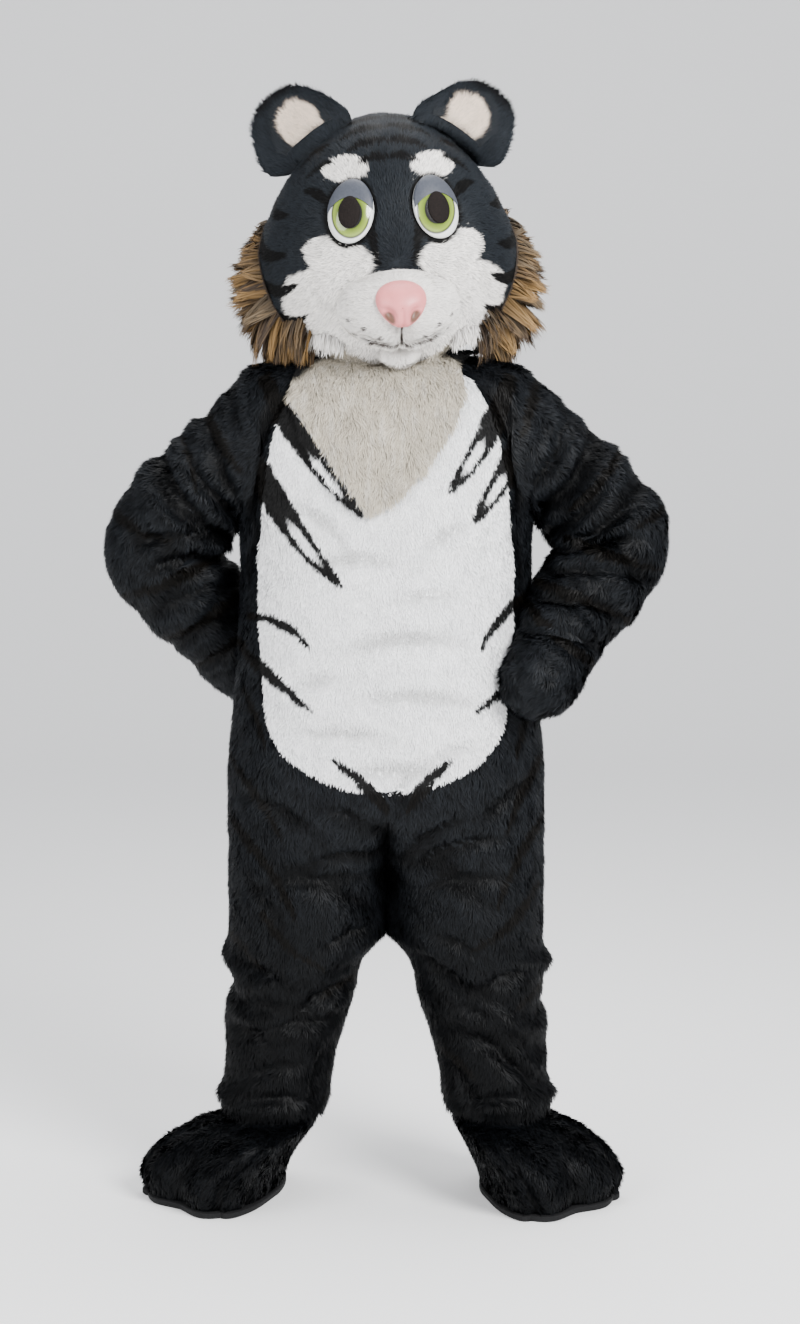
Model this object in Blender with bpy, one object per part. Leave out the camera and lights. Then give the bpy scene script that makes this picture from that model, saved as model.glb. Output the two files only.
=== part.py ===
"""Tiger mascot costume: a hollow fur suit worn with hands on hips, with mitts, foot covers and a head.

Metres, +Z up, the front faces -Y and the wearer's left side is +X. The origin is at the wearer's
shoulders, HOLD_HEIGHT above the floor, and everything hangs on one empty that stands on the floor.
"""

from collections import namedtuple
import math

import bmesh
import bpy
import numpy as np

# Driving dimensions.
HOLD_HEIGHT = 1.42
FUR_WALL = 0.006
HEAD_WALL = 0.014
SEAM_GAP = 0.0003
PAD_GAP = 0.001

RIGHT, LEFT = -1, 1
SIDE_NAMES = {RIGHT: "right", LEFT: "left"}

# The suit is one surface of heights ("levels") and turns ("u"): u is 0 at centre front, 1 at the
# side seam and 2 at centre back. Below HIP_LEVEL it parts into two legs.
NECK_LEVEL = 1.455
ARMHOLE_TOP, ARMHOLE_BOTTOM = 1.368, 1.190
ARMHOLE_DEPTH = 0.37
BELLY_TURN_LEVEL, BELLY_BOTTOM = 0.860, 0.731
HIP_LEVEL, CROTCH_LEVEL = 0.700, 0.470
HEM_LEVEL = 0.155
SECTION_POWER = 0.87
U_SPAN = 0.33
FOLD_SEAM_FADE, FOLD_HEM_FADE = 0.12, 0.02
LEVEL_SLACK = 0.001

SuitSection = namedtuple("SuitSection", "level side_rise half_width front back")
SUIT_SECTIONS = (
    SuitSection(1.455, 0.025, 0.112, 0.108, 0.100),
    SuitSection(1.435, 0.040, 0.158, 0.126, 0.128),
    SuitSection(1.405, 0.062, 0.207, 0.144, 0.152),
    SuitSection(1.365, 0.086, 0.250, 0.160, 0.170),
    SuitSection(1.315, 0.078, 0.269, 0.175, 0.180),
    SuitSection(1.255, 0.045, 0.268, 0.188, 0.184),
    SuitSection(1.200, 0.015, 0.263, 0.198, 0.184),
    SuitSection(1.140, 0.000, 0.257, 0.207, 0.182),
    SuitSection(1.060, 0.000, 0.257, 0.214, 0.180),
    SuitSection(0.980, 0.000, 0.261, 0.219, 0.181),
    SuitSection(0.900, 0.000, 0.266, 0.221, 0.186),
    SuitSection(0.820, 0.000, 0.273, 0.218, 0.193),
    SuitSection(0.740, 0.000, 0.279, 0.208, 0.199),
    SuitSection(0.660, 0.000, 0.279, 0.197, 0.201),
    SuitSection(0.580, 0.000, 0.279, 0.187, 0.198),
    SuitSection(0.470, 0.000, 0.278, 0.177, 0.190),
)
LegSection = namedtuple("LegSection", "level centre_x half_width centre_y front back")
LEG_SECTIONS = (
    LegSection(0.700, 0.1395, 0.1392, 0.000, 0.186, 0.195),
    LegSection(0.580, 0.1395, 0.1392, 0.000, 0.172, 0.186),
    LegSection(0.470, 0.1395, 0.1390, 0.004, 0.160, 0.174),
    LegSection(0.440, 0.1480, 0.1300, 0.004, 0.153, 0.163),
    LegSection(0.416, 0.1600, 0.1215, 0.003, 0.147, 0.153),
    LegSection(0.389, 0.1630, 0.1150, 0.001, 0.140, 0.144),
    LegSection(0.350, 0.1680, 0.1120, 0.000, 0.131, 0.133),
    LegSection(0.310, 0.1765, 0.1075, 0.000, 0.123, 0.125),
    LegSection(0.260, 0.1840, 0.0990, -0.004, 0.113, 0.118),
    LegSection(0.210, 0.1900, 0.0950, -0.009, 0.107, 0.114),
    LegSection(0.180, 0.1950, 0.0970, -0.012, 0.106, 0.113),
    LegSection(0.155, 0.1975, 0.0930, -0.014, 0.101, 0.108),
)
# Half the belly panel's width, seen from the front, down to where its rounded end begins.
BellyEdge = namedtuple("BellyEdge", "level half_width")
BELLY_EDGES = (
    BellyEdge(1.455, 0.090),
    BellyEdge(1.400, 0.152),
    BellyEdge(1.310, 0.192),
    BellyEdge(1.220, 0.214),
    BellyEdge(1.120, 0.224),
    BellyEdge(1.040, 0.223),
    BellyEdge(0.950, 0.217),
    BellyEdge(0.880, 0.210),
    BellyEdge(0.800, 0.192),
)

# The largest folds. Slant is in degrees from level, and a negative depth is a trough.
Fold = namedtuple("Fold", "side u level length width depth slant")
SUIT_FOLDS = (
    Fold(RIGHT, 0.55, 0.405, 0.090, 0.016, 0.010, -20),
    Fold(RIGHT, 0.50, 0.350, 0.100, 0.016, -0.011, 8),
    Fold(RIGHT, 0.55, 0.318, 0.080, 0.016, 0.009, 12),
    Fold(RIGHT, 1.05, 0.432, 0.060, 0.018, 0.011, 15),
    Fold(RIGHT, 1.05, 0.380, 0.070, 0.017, -0.012, 12),
    Fold(RIGHT, 1.60, 0.365, 0.100, 0.018, -0.010, -10),
    Fold(RIGHT, 1.55, 0.318, 0.090, 0.018, 0.008, 8),
    Fold(RIGHT, 0.85, 0.182, 0.080, 0.012, 0.009, 6),
    Fold(RIGHT, 1.40, 0.190, 0.080, 0.014, 0.008, -8),
    Fold(RIGHT, 0.30, 0.560, 0.110, 0.020, -0.008, 35),
    Fold(RIGHT, 1.45, 0.540, 0.130, 0.022, -0.009, -25),
    Fold(LEFT, 1.00, 0.410, 0.080, 0.018, 0.012, -12),
    Fold(LEFT, 0.45, 0.385, 0.090, 0.015, -0.010, -28),
    Fold(LEFT, 0.50, 0.335, 0.110, 0.016, 0.010, -14),
    Fold(LEFT, 0.60, 0.290, 0.090, 0.016, -0.010, -10),
    Fold(LEFT, 1.00, 0.345, 0.070, 0.016, -0.010, 10),
    Fold(LEFT, 1.60, 0.350, 0.100, 0.018, -0.010, 12),
    Fold(LEFT, 0.70, 0.232, 0.080, 0.014, 0.007, 20),
    Fold(LEFT, 0.95, 0.184, 0.080, 0.012, 0.009, -8),
    Fold(LEFT, 0.45, 0.182, 0.070, 0.012, 0.007, 6),
    Fold(LEFT, 0.35, 0.585, 0.110, 0.020, -0.008, -35),
    Fold(LEFT, 1.50, 0.530, 0.130, 0.022, -0.009, 22),
)

# Arms. The sleeves run down to CUFF_STATION, and the mitts from just above it.
ArmStation = namedtuple("ArmStation", "x y z radius")
ARM_STATIONS = {
    RIGHT: (
        ArmStation(0.255, 0.000, 1.326, 0.092),
        ArmStation(0.286, 0.003, 1.286, 0.088),
        ArmStation(0.321, 0.008, 1.248, 0.097),
        ArmStation(0.351, 0.014, 1.211, 0.104),
        ArmStation(0.381, 0.022, 1.170, 0.106),
        ArmStation(0.400, 0.032, 1.127, 0.102),
        ArmStation(0.375, 0.050, 1.084, 0.096),
        ArmStation(0.343, 0.072, 1.046, 0.092),
        ArmStation(0.311, 0.094, 1.009, 0.091),
        ArmStation(0.286, 0.117, 0.973, 0.085),
        ArmStation(0.266, 0.140, 0.940, 0.078),
        ArmStation(0.241, 0.162, 0.910, 0.068),
        ArmStation(0.222, 0.180, 0.884, 0.064),
        ArmStation(0.207, 0.194, 0.862, 0.050),
    ),
    LEFT: (
        ArmStation(0.264, 0.000, 1.334, 0.104),
        ArmStation(0.295, 0.000, 1.294, 0.101),
        ArmStation(0.326, 0.000, 1.253, 0.099),
        ArmStation(0.358, -0.001, 1.215, 0.103),
        ArmStation(0.387, -0.004, 1.177, 0.105),
        ArmStation(0.400, -0.012, 1.134, 0.098),
        ArmStation(0.374, -0.034, 1.092, 0.094),
        ArmStation(0.343, -0.060, 1.055, 0.090),
        ArmStation(0.317, -0.088, 1.018, 0.086),
        ArmStation(0.297, -0.113, 0.983, 0.080),
        ArmStation(0.280, -0.136, 0.950, 0.071),
        ArmStation(0.264, -0.156, 0.922, 0.069),
        ArmStation(0.248, -0.172, 0.902, 0.063),
        ArmStation(0.236, -0.183, 0.884, 0.046),
    ),
}
CUFF_STATION = 10
SLEEVE_CAP_STATIONS = 2.0
SLEEVE_FOLD_START, SLEEVE_FOLD_FADE = 0.6, 0.8
ARM_STEPS = 1.5
MITT_STEP, MITT_TIP = 0.5, 0.022
REST_GAP = 0.0025

# A fold across a sleeve: along is in arm stations, around is in degrees from the outer side.
SleeveFold = namedtuple("SleeveFold", "side along around length width depth slant")
SLEEVE_FOLDS = (
    SleeveFold(RIGHT, 1.7, 40, 80, 0.42, 0.013, 10),
    SleeveFold(RIGHT, 2.5, 70, 90, 0.45, -0.013, 8),
    SleeveFold(RIGHT, 3.2, 60, 80, 0.45, 0.010, 6),
    SleeveFold(RIGHT, 4.2, 120, 70, 0.50, -0.014, 4),
    SleeveFold(RIGHT, 5.6, 110, 80, 0.45, -0.013, -4),
    SleeveFold(RIGHT, 6.4, 80, 90, 0.45, 0.009, -6),
    SleeveFold(RIGHT, 8.0, 90, 90, 0.50, -0.007, -6),
    SleeveFold(RIGHT, 2.6, 250, 90, 0.50, -0.011, 8),
    SleeveFold(RIGHT, 5.2, 240, 80, 0.50, -0.011, 0),
    SleeveFold(LEFT, 1.8, 50, 80, 0.45, -0.013, 8),
    SleeveFold(LEFT, 2.6, 60, 80, 0.45, 0.011, 8),
    SleeveFold(LEFT, 3.5, 70, 80, 0.50, -0.013, 4),
    SleeveFold(LEFT, 4.4, 40, 70, 0.45, 0.010, 4),
    SleeveFold(LEFT, 5.4, 100, 80, 0.45, -0.014, -4),
    SleeveFold(LEFT, 6.3, 70, 80, 0.45, 0.009, -4),
    SleeveFold(LEFT, 7.6, 80, 80, 0.45, -0.010, -6),
    SleeveFold(LEFT, 2.8, 250, 90, 0.50, -0.011, 8),
    SleeveFold(LEFT, 5.3, 250, 80, 0.50, -0.011, 0),
)

# Feet. Lengths run along the foot, which turns out from straight ahead. The sole stands FOOT_OUT
# to the outer side of the ankle, and out_share is how much of that is left at each height.
FOOT_TURN = {RIGHT: 30, LEFT: 24}
FOOT_OUT = {RIGHT: 0.087, LEFT: 0.067}
SOLE_THICKNESS = 0.012
FootSection = namedtuple("FootSection", "height out_share centre front back half_width")
FOOT_SECTIONS = (
    FootSection(0.0123, 1.00, 0.022, 0.143, 0.148, 0.101),
    FootSection(0.045, 0.97, 0.024, 0.151, 0.155, 0.110),
    FootSection(0.085, 0.70, 0.022, 0.147, 0.149, 0.111),
    FootSection(0.115, 0.38, 0.014, 0.128, 0.134, 0.104),
    FootSection(0.136, 0.12, 0.004, 0.098, 0.116, 0.093),
)
FOOT_FLARE, TOE_SLANT = 0.5, 0.3
FOOT_WIDTH_POWER, FOOT_LENGTH_POWER = 0.70, 0.80
COLLAR_LEVELS = (0.150, 0.185)
COLLAR_CLEARANCE = 0.0045
TOE_COUNT = 4
TOE_BULGE = 0.013
TOE_ANGLE, TOE_FADE = 60, 0.1
TOE_COLUMNS = 5
HEEL_COLUMNS = 14
SOLE_SPREAD = 0.004

# Head: an egg about HEAD_CENTRE, turned a little to the wearer's left and tipped.
HEAD_CENTRE = (0.002, -0.012, 1.668)
HEAD_HALF_WIDTH, HEAD_FRONT, HEAD_BACK = 0.222, 0.205, 0.215
HEAD_UP, HEAD_DOWN = 0.235, 0.234
HEAD_TAPER = 0.18
HEAD_YAW, HEAD_ROLL = 4, -3.5
CHEEK_WIDTH, CHEEK_ELEVATION, CHEEK_SPREAD = 0.008, -18, 24
HEAD_TOP_ELEVATION = 89.6
OPENING_ELEVATION_FRONT, OPENING_ELEVATION_BACK = -63, -46
OPENING_TURN, OPENING_TURN_SPAN = 0.70, 0.28

# Pads on the head: their middle and half sizes in degrees, their height, and how square they are.
Pad = namedtuple("Pad", "azimuth elevation half_across half_up height power")
MUZZLE = Pad(0, -31, 31, 17.5, 0.064, 1.3)
CHIN = Pad(0, -54, 13, 5.4, 0.026, 1.0)
NOSE = Pad(0, -24, 12, 7.5, 0.022, 0.9)
EYE = Pad(20, 12, 11.0, 13.5, 0.016, 1.0)
PUPIL = Pad(19.5, 10.5, 4.8, 6.4, 0.004, 1.0)
PAD_EDGE = 0.002
# Cheek ruffs, from the top down: reach is how far the hair stands out, and droop how much it falls.
RuffSection = namedtuple("RuffSection", "elevation middle half_across reach droop")
RUFF_SECTIONS = (
    RuffSection(15, 100, 5, 0.010, 0.0),
    RuffSection(5, 99, 12, 0.032, 0.0),
    RuffSection(-7, 98, 17, 0.052, 0.08),
    RuffSection(-19, 97, 19, 0.068, 0.15),
    RuffSection(-31, 96, 19, 0.086, 0.26),
    RuffSection(-44, 95, 15, 0.080, 0.40),
)
RUFF_LOCKS, RUFF_LOCK_DEPTH = 5, 0.20
RUFF_EXTRA_DROOP = {RIGHT: 0.0, LEFT: 0.22}
RUFF_ROWS, RUFF_COLUMNS, RUFF_ROUNDING = 15, 6, 1.6

EAR_BASE_INNER, EAR_BASE_OUTER = (44, 66), (84, 35)
EAR_LENGTH, EAR_CUP = 0.118, 0.030
EAR_INNER_SPREAD, EAR_OUTER_SPREAD = 0.010, 0.030
EAR_THICKNESS, EAR_EDGE = 0.024, 0.010
EAR_LEAN = (0.71, -0.10, 0.71)
EAR_OUTWARD = (0.86, 0.0, -0.51)
EAR_SQUARENESS, EAR_SIDE_SHARE, EAR_SPREAD_ARC = 2.5, 0.985, 0.8
INNER_EAR_SIZE, INNER_EAR_HEIGHT, INNER_EAR_GAP = 0.62, 0.003, 0.0014
INNER_EAR_LOW, INNER_EAR_HIGH, INNER_EAR_ROUNDING = 0.24, 0.80, 0.9

BIB_TIP_LEVEL, BIB_SIDE_LEVEL = 1.200, 1.438
BIB_TIP_AZIMUTH, BIB_V_HALF_ANGLE = -5, 58
BIB_V_POWER = 0.7
COLLAR_LEVEL, COLLAR_HALF_ANGLE, COLLAR_POWER = 1.335, 75, 0.8
DRAPE_LEVEL, DRAPE_HALF_WIDTH = 1.450, 0.13
BIB_CLEARANCE = 0.0045

# How finely each piece is divided.
PANEL_COLUMNS, BELLY_COLUMNS = 7, 10
ARMHOLE_ROWS = 8
EAR_COLUMNS, EAR_ROWS = 12, 5
HEAD_COLUMNS, HEAD_ROWS = 32, 13
STEP = 1e-4

FUR_BLACK = (0.018, 0.020, 0.024)
FUR_WHITE = (0.80, 0.80, 0.80)
FUR_CREAM = (0.66, 0.62, 0.56)
FUR_SLATE = (0.045, 0.052, 0.062)
FUR_TAN = (0.30, 0.23, 0.17)
SOLE_BLACK = (0.012, 0.012, 0.013)
NOSE_PINK = (0.68, 0.27, 0.26)
EYE_GREEN = (0.30, 0.38, 0.10)
MESH_BROWN = (0.035, 0.025, 0.020)
FUR_ROUGHNESS, HARD_ROUGHNESS = 0.85, 0.35


def clear_scene():
    for thing in list(bpy.data.objects):
        bpy.data.objects.remove(thing, do_unlink=True)


def smoothstep(t):
    t = np.clip(t, 0.0, 1.0)
    return t * t * (3 - 2 * t)


def unit(vectors):
    return vectors / np.linalg.norm(vectors, axis=-1, keepdims=True)


def signed_power(value, power):
    return np.sign(value) * np.abs(value) ** power


def columns_at(rows, key):
    """The columns of a table after its first, on smooth curves through its rows, at the values key."""
    table = np.array(rows, float)
    if table[0, 0] > table[-1, 0]:
        table = table[::-1]
    knots, values = table[:, 0], table[:, 1:]
    steps = np.diff(values, axis=0) / np.diff(knots)[:, None]
    product, total = steps[:-1] * steps[1:], steps[:-1] + steps[1:]
    even = np.where(product > 0, 2 * product / np.where(total == 0, 1, total), 0)
    slopes = np.concatenate([steps[:1], even, steps[-1:]])
    key = np.asarray(key, float)
    i = np.clip(np.searchsorted(knots, key, side="right") - 1, 0, len(knots) - 2)
    span = (knots[i + 1] - knots[i])[..., None]
    t = (key - knots[i])[..., None] / span
    start, end = values[i], values[i + 1]
    start_slope, end_slope = slopes[i] * span, slopes[i + 1] * span
    bend = 3 * (end - start) - 2 * start_slope - end_slope
    twist = 2 * (start - end) + start_slope + end_slope
    result = start + t * (start_slope + t * (bend + t * twist))
    return np.moveaxis(result, -1, 0)


def ridge(along, across, length, width):
    return np.exp(-((along / length) ** 2) - (across / width) ** 2)


def normals_of(surface, u, v, facing):
    """Unit normals of a surface of two parameters, on the side that facing gives."""
    along_u = surface(u + STEP, v) - surface(u - STEP, v)
    along_v = surface(u, v + STEP) - surface(u, v - STEP)
    return unit(np.cross(along_u, along_v)) * facing


def torso_point(u, level):
    rise, half_width, front, back = columns_at(SUIT_SECTIONS, level)
    angle = u * math.pi / 2
    across = signed_power(np.sin(angle), SECTION_POWER)
    ahead = signed_power(np.cos(angle), SECTION_POWER)
    depth = np.where(ahead > 0, front, back)
    height = level + rise * np.sin(angle) ** 2
    return np.stack([half_width * across, -depth * ahead, height], axis=-1)


def leg_point(u, level):
    centre_x, half_width, centre_y, front, back = columns_at(LEG_SECTIONS, level)
    angle = (u - 0.5) * math.pi
    ahead = np.cos(angle)
    depth = np.where(ahead > 0, front, back)
    x = centre_x + half_width * np.sin(angle)
    return np.stack([x, centre_y - depth * ahead, level + 0 * u], axis=-1)


def suit_form(u, level):
    """The left half of the suit, without folds."""
    share = smoothstep((HIP_LEVEL - level) / (HIP_LEVEL - CROTCH_LEVEL))[..., None]
    torso = torso_point(u, np.maximum(level, CROTCH_LEVEL))
    torso[..., 2] = torso[..., 2] + np.minimum(level - CROTCH_LEVEL, 0)
    return torso * (1 - share) + leg_point(u, np.minimum(level, HIP_LEVEL)) * share


def suit_folds(u, level, side):
    total = np.zeros(np.broadcast(u, level).shape)
    for fold in SUIT_FOLDS:
        if fold.side != side:
            continue
        slant = math.radians(fold.slant)
        right, up = (u - fold.u) * U_SPAN, level - fold.level
        along = right * math.cos(slant) + up * math.sin(slant)
        across = up * math.cos(slant) - right * math.sin(slant)
        total += fold.depth * ridge(along, across, fold.length, fold.width)
    seams = smoothstep(u / FOLD_SEAM_FADE) * smoothstep((2 - u) / FOLD_SEAM_FADE)
    return total * seams * smoothstep((level - HEM_LEVEL) / FOLD_HEM_FADE)


def suit_layers(u, level, side):
    """Outer and inner points of the suit's cloth."""
    u, level = np.broadcast_arrays(np.asarray(u, float), np.asarray(level, float))
    normals = normals_of(suit_form, u, level, facing=1)
    outer = suit_form(u, level) + normals * suit_folds(u, level, side)[..., None]
    inner = outer - normals * FUR_WALL
    mirror = np.array([side, 1, 1])
    return outer * mirror, inner * mirror


def belly_u(level, extra=0.0):
    """u at the belly panel's edge, moved extra metres towards the side."""
    turn = np.clip((BELLY_TURN_LEVEL - level) / (BELLY_TURN_LEVEL - BELLY_BOTTOM), 0, 0.9999)
    width = columns_at(BELLY_EDGES, np.maximum(level, BELLY_TURN_LEVEL))[0]
    width = width * np.sqrt(1 - turn**2)
    half_width = columns_at(SUIT_SECTIONS, level)[1]
    share = np.clip((width + extra) / half_width, 0, 1)
    return np.arcsin(share ** (1 / SECTION_POWER)) / (math.pi / 2)


def gap_u(level, gap):
    """A gap in metres as a step of u, on the torso or on a leg."""
    half_width = np.where(level > HIP_LEVEL, columns_at(SUIT_SECTIONS, level)[1], 0.15)
    return gap / half_width / (math.pi / 2)


def suit_levels():
    """The levels of the suit's rows, from the neck to the hem."""
    turn = np.linspace(0, math.pi, ARMHOLE_ROWS + 1)
    middle, half = (ARMHOLE_TOP + ARMHOLE_BOTTOM) / 2, (ARMHOLE_TOP - ARMHOLE_BOTTOM) / 2
    shoulder = np.linspace(NECK_LEVEL, ARMHOLE_TOP, 4)[:-1]
    armhole = middle + half * np.cos(turn)
    side = np.linspace(ARMHOLE_BOTTOM, BELLY_TURN_LEVEL, 6)[1:-1]
    quarter = np.linspace(0, math.pi / 2, 5)
    rounded = BELLY_TURN_LEVEL + (BELLY_BOTTOM - BELLY_TURN_LEVEL) * np.sin(quarter)
    hips = np.linspace(BELLY_BOTTOM - 3 * LEVEL_SLACK, CROTCH_LEVEL, 5)
    leg = np.linspace(CROTCH_LEVEL, HEM_LEVEL, 12)[1:]
    return np.concatenate([shoulder, armhole, side, rounded, hips, leg])


def armhole_cut(levels):
    """How far the armhole's edge stands in from the side, in u, at each level."""
    middle, half = (ARMHOLE_TOP + ARMHOLE_BOTTOM) / 2, (ARMHOLE_TOP - ARMHOLE_BOTTOM) / 2
    return ARMHOLE_DEPTH * np.sqrt(np.clip(1 - ((levels - middle) / half) ** 2, 0, 1))


def add_object(name, points, faces, collection, parent, colour, roughness):
    mesh = bpy.data.meshes.new(name)
    mesh.from_pydata([tuple(p) for p in points], [], faces)
    work = bmesh.new()
    work.from_mesh(mesh)
    bmesh.ops.remove_doubles(work, verts=work.verts, dist=1e-6)
    bmesh.ops.recalc_face_normals(work, faces=work.faces)
    bmesh.ops.triangulate(work, faces=work.faces)
    if work.calc_volume(signed=True) < 0:
        bmesh.ops.reverse_faces(work, faces=work.faces)
    work.to_mesh(mesh)
    work.free()
    mesh.shade_smooth()
    mesh.set_sharp_from_angle(angle=math.radians(40))
    mesh.materials.append(make_material(name, colour, roughness))
    thing = bpy.data.objects.new(name, mesh)
    collection.objects.link(thing)
    thing.parent = parent
    return thing


def make_material(name, colour, roughness):
    material = bpy.data.materials.new(name)
    material.use_nodes = True
    shader = material.node_tree.nodes["Principled BSDF"]
    shader.inputs["Base Color"].default_value = (*colour, 1.0)
    shader.inputs["Roughness"].default_value = roughness
    shader.inputs["Metallic"].default_value = 0.0
    return material


def grid_faces(rows, columns, wrap, start):
    """Quads of a grid of points whose first has the number start."""
    faces = []
    for i in range(rows - 1):
        for j in range(columns if wrap else columns - 1):
            k = (j + 1) % columns
            corners = (i * columns + j, i * columns + k, (i + 1) * columns + k, (i + 1) * columns + j)
            faces.append([start + corner for corner in corners])
    return faces


def wall(outer, inner, wrap):
    """Points and faces of a closed wall between two grids of points."""
    rows, columns = outer.shape[:2]
    count = rows * columns
    points = np.concatenate([outer.reshape(-1, 3), inner.reshape(-1, 3)])
    faces = grid_faces(rows, columns, wrap, 0)
    faces += [face[::-1] for face in grid_faces(rows, columns, wrap, count)]
    edges = [[(i, j) for j in range(columns)] for i in (0, rows - 1)]
    if wrap:
        edges = [edge + edge[:1] for edge in edges]
    else:
        edges += [[(i, j) for i in range(rows)] for j in (0, columns - 1)]
    for edge in edges:
        numbers = [i * columns + j for i, j in edge]
        for a, b in zip(numbers, numbers[1:]):
            faces.append([a, b, count + b, count + a])
    return points, faces


def between(start, end, count):
    """A row of values from start to end for each entry, as a grid."""
    share = np.linspace(0, 1, count + 1)
    return np.asarray(start)[:, None] * (1 - share) + np.asarray(end)[:, None] * share


def front_panel(side):
    levels = suit_levels()
    gap = gap_u(levels, SEAM_GAP / 2)
    start = np.where(levels > BELLY_BOTTOM - LEVEL_SLACK, belly_u(levels, PAD_GAP), gap)
    end = 1 - np.maximum(armhole_cut(levels), gap)
    return wall(*suit_layers(between(start, end, PANEL_COLUMNS), levels[:, None], side), wrap=False)


def back_panel(side):
    levels = suit_levels()
    gap = gap_u(levels, SEAM_GAP / 2)
    start = 1 + np.maximum(armhole_cut(levels), gap)
    return wall(*suit_layers(between(start, 2 - gap, PANEL_COLUMNS), levels[:, None], side), wrap=False)


def belly_panel():
    levels = suit_levels()
    levels = levels[levels > BELLY_BOTTOM - LEVEL_SLACK]
    half = between(np.zeros(len(levels)), belly_u(levels), BELLY_COLUMNS // 2)
    right = suit_layers(half[:, :0:-1], levels[:, None], RIGHT)
    left = suit_layers(half, levels[:, None], LEFT)
    outer, inner = (np.concatenate(pair, axis=1) for pair in zip(right, left))
    return wall(outer, inner, wrap=False)


def armhole_loop(side):
    """The armhole's edge from the top, down the front and up the back, with the torso's normals."""
    turn = np.linspace(0, 2 * math.pi, 2 * ARMHOLE_ROWS + 1)[:-1]
    middle, half = (ARMHOLE_TOP + ARMHOLE_BOTTOM) / 2, (ARMHOLE_TOP - ARMHOLE_BOTTOM) / 2
    levels = middle + half * np.cos(turn)
    u = 1 - ARMHOLE_DEPTH * np.sin(turn)
    points, inner = suit_layers(u, levels, side)
    normals = unit(points - inner)
    tangent = unit(np.roll(points, -1, axis=0) - np.roll(points, 1, axis=0))
    into_hole = unit(np.cross(tangent, normals))
    centre = points.mean(axis=0)
    into_hole *= np.sign(np.sum(into_hole * (centre - points), axis=1).mean())
    return points, into_hole


def arm_frames(side, stations):
    """Centre, radius and cross-section axes (outer side, front) of the arm at fractional stations."""
    table = [(i, *station) for i, station in enumerate(ARM_STATIONS[side])]
    x, y, z, radius = columns_at(table, stations)
    centre = np.stack([x * side, y, z], axis=-1)
    ahead = columns_at(table, np.asarray(stations) + 0.05)
    behind = columns_at(table, np.asarray(stations) - 0.05)
    along = unit(np.stack([(ahead[0] - behind[0]) * side, ahead[1] - behind[1], ahead[2] - behind[2]], -1))
    front = np.array([0.0, -1.0, 0.0]) - along * -along[..., 1:2]
    front = unit(front)
    outer = np.cross(along, front) * -side
    return centre, radius, along, outer, front


def keep_off_torso(points, clearance):
    """Moves points that would sink into the torso out to just clear of it."""
    level = points[..., 2]
    _, half_width, front, back = columns_at(SUIT_SECTIONS, level)
    half_width = half_width + clearance
    depth = np.where(points[..., 1] < 0, front, back) + clearance
    power = 2 / SECTION_POWER
    inside = (np.abs(points[..., 0]) / half_width) ** power + (np.abs(points[..., 1]) / depth) ** power
    scale = np.maximum(1, inside ** (-1 / power))
    scale = np.where(level < ARMHOLE_BOTTOM + 0.02, scale, 1)
    return points * np.stack([scale, scale, np.ones_like(scale)], axis=-1)


def sleeve_folds(side, stations, turn):
    total = np.zeros(np.broadcast(stations, turn).shape)
    for fold in SLEEVE_FOLDS:
        if fold.side != side:
            continue
        around = (np.degrees(turn) - fold.around + 180) % 360 - 180
        lift = stations - fold.along - fold.slant / 1000 * around
        total += fold.depth * ridge(around, lift, fold.length, fold.width)
    start = smoothstep((stations - SLEEVE_FOLD_START) / SLEEVE_FOLD_FADE)
    end = smoothstep((CUFF_STATION - 1 - stations) / SLEEVE_FOLD_FADE)
    return total * start * end


def arm_surface(side, stations, turn):
    """Points on an arm's outside. turn runs from the outer side over the front and round."""
    centre, radius, _, outer, front = arm_frames(side, stations)
    radius = radius + sleeve_folds(side, stations, turn)
    reach = outer * np.cos(turn)[..., None] + front * np.sin(turn)[..., None]
    return keep_off_torso(centre + reach * radius[..., None], REST_GAP)


def grid_normals(points, outward_from):
    """Normals of a wrapped grid of points, away from the line of centres."""
    around = np.roll(points, -1, axis=1) - np.roll(points, 1, axis=1)
    along = np.gradient(points, axis=0)
    normals = unit(np.cross(around, along))
    facing = np.sum(normals * (points - outward_from), axis=-1, keepdims=True)
    return normals * np.sign(facing.mean())


def sleeve(side):
    turn = np.linspace(0, 2 * math.pi, 2 * ARMHOLE_ROWS + 1)[:-1]
    count = int(CUFF_STATION * ARM_STEPS) + 1
    stations = np.linspace(0, CUFF_STATION, count)[:, None] + 0 * turn
    tube = arm_surface(side, stations, turn[None, :] + 0 * stations)
    centre = arm_frames(side, stations)[0]
    loop, into_hole = armhole_loop(side)
    share = smoothstep(stations / SLEEVE_CAP_STATIONS)[..., None]
    outer = (loop + centre - centre[0]) * (1 - share) + tube * share
    outer[0] = loop + into_hole * SEAM_GAP
    outer[1:] = keep_off_torso(outer[1:], REST_GAP)
    normals = grid_normals(outer, centre)
    inward = -normals[0]
    lean = np.minimum(np.sum(inward * into_hole, axis=-1, keepdims=True), 0)
    inner = outer - normals * FUR_WALL
    inner[0] = outer[0] + unit(inward - lean * into_hole) * FUR_WALL
    return wall(outer, inner, wrap=True)


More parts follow.
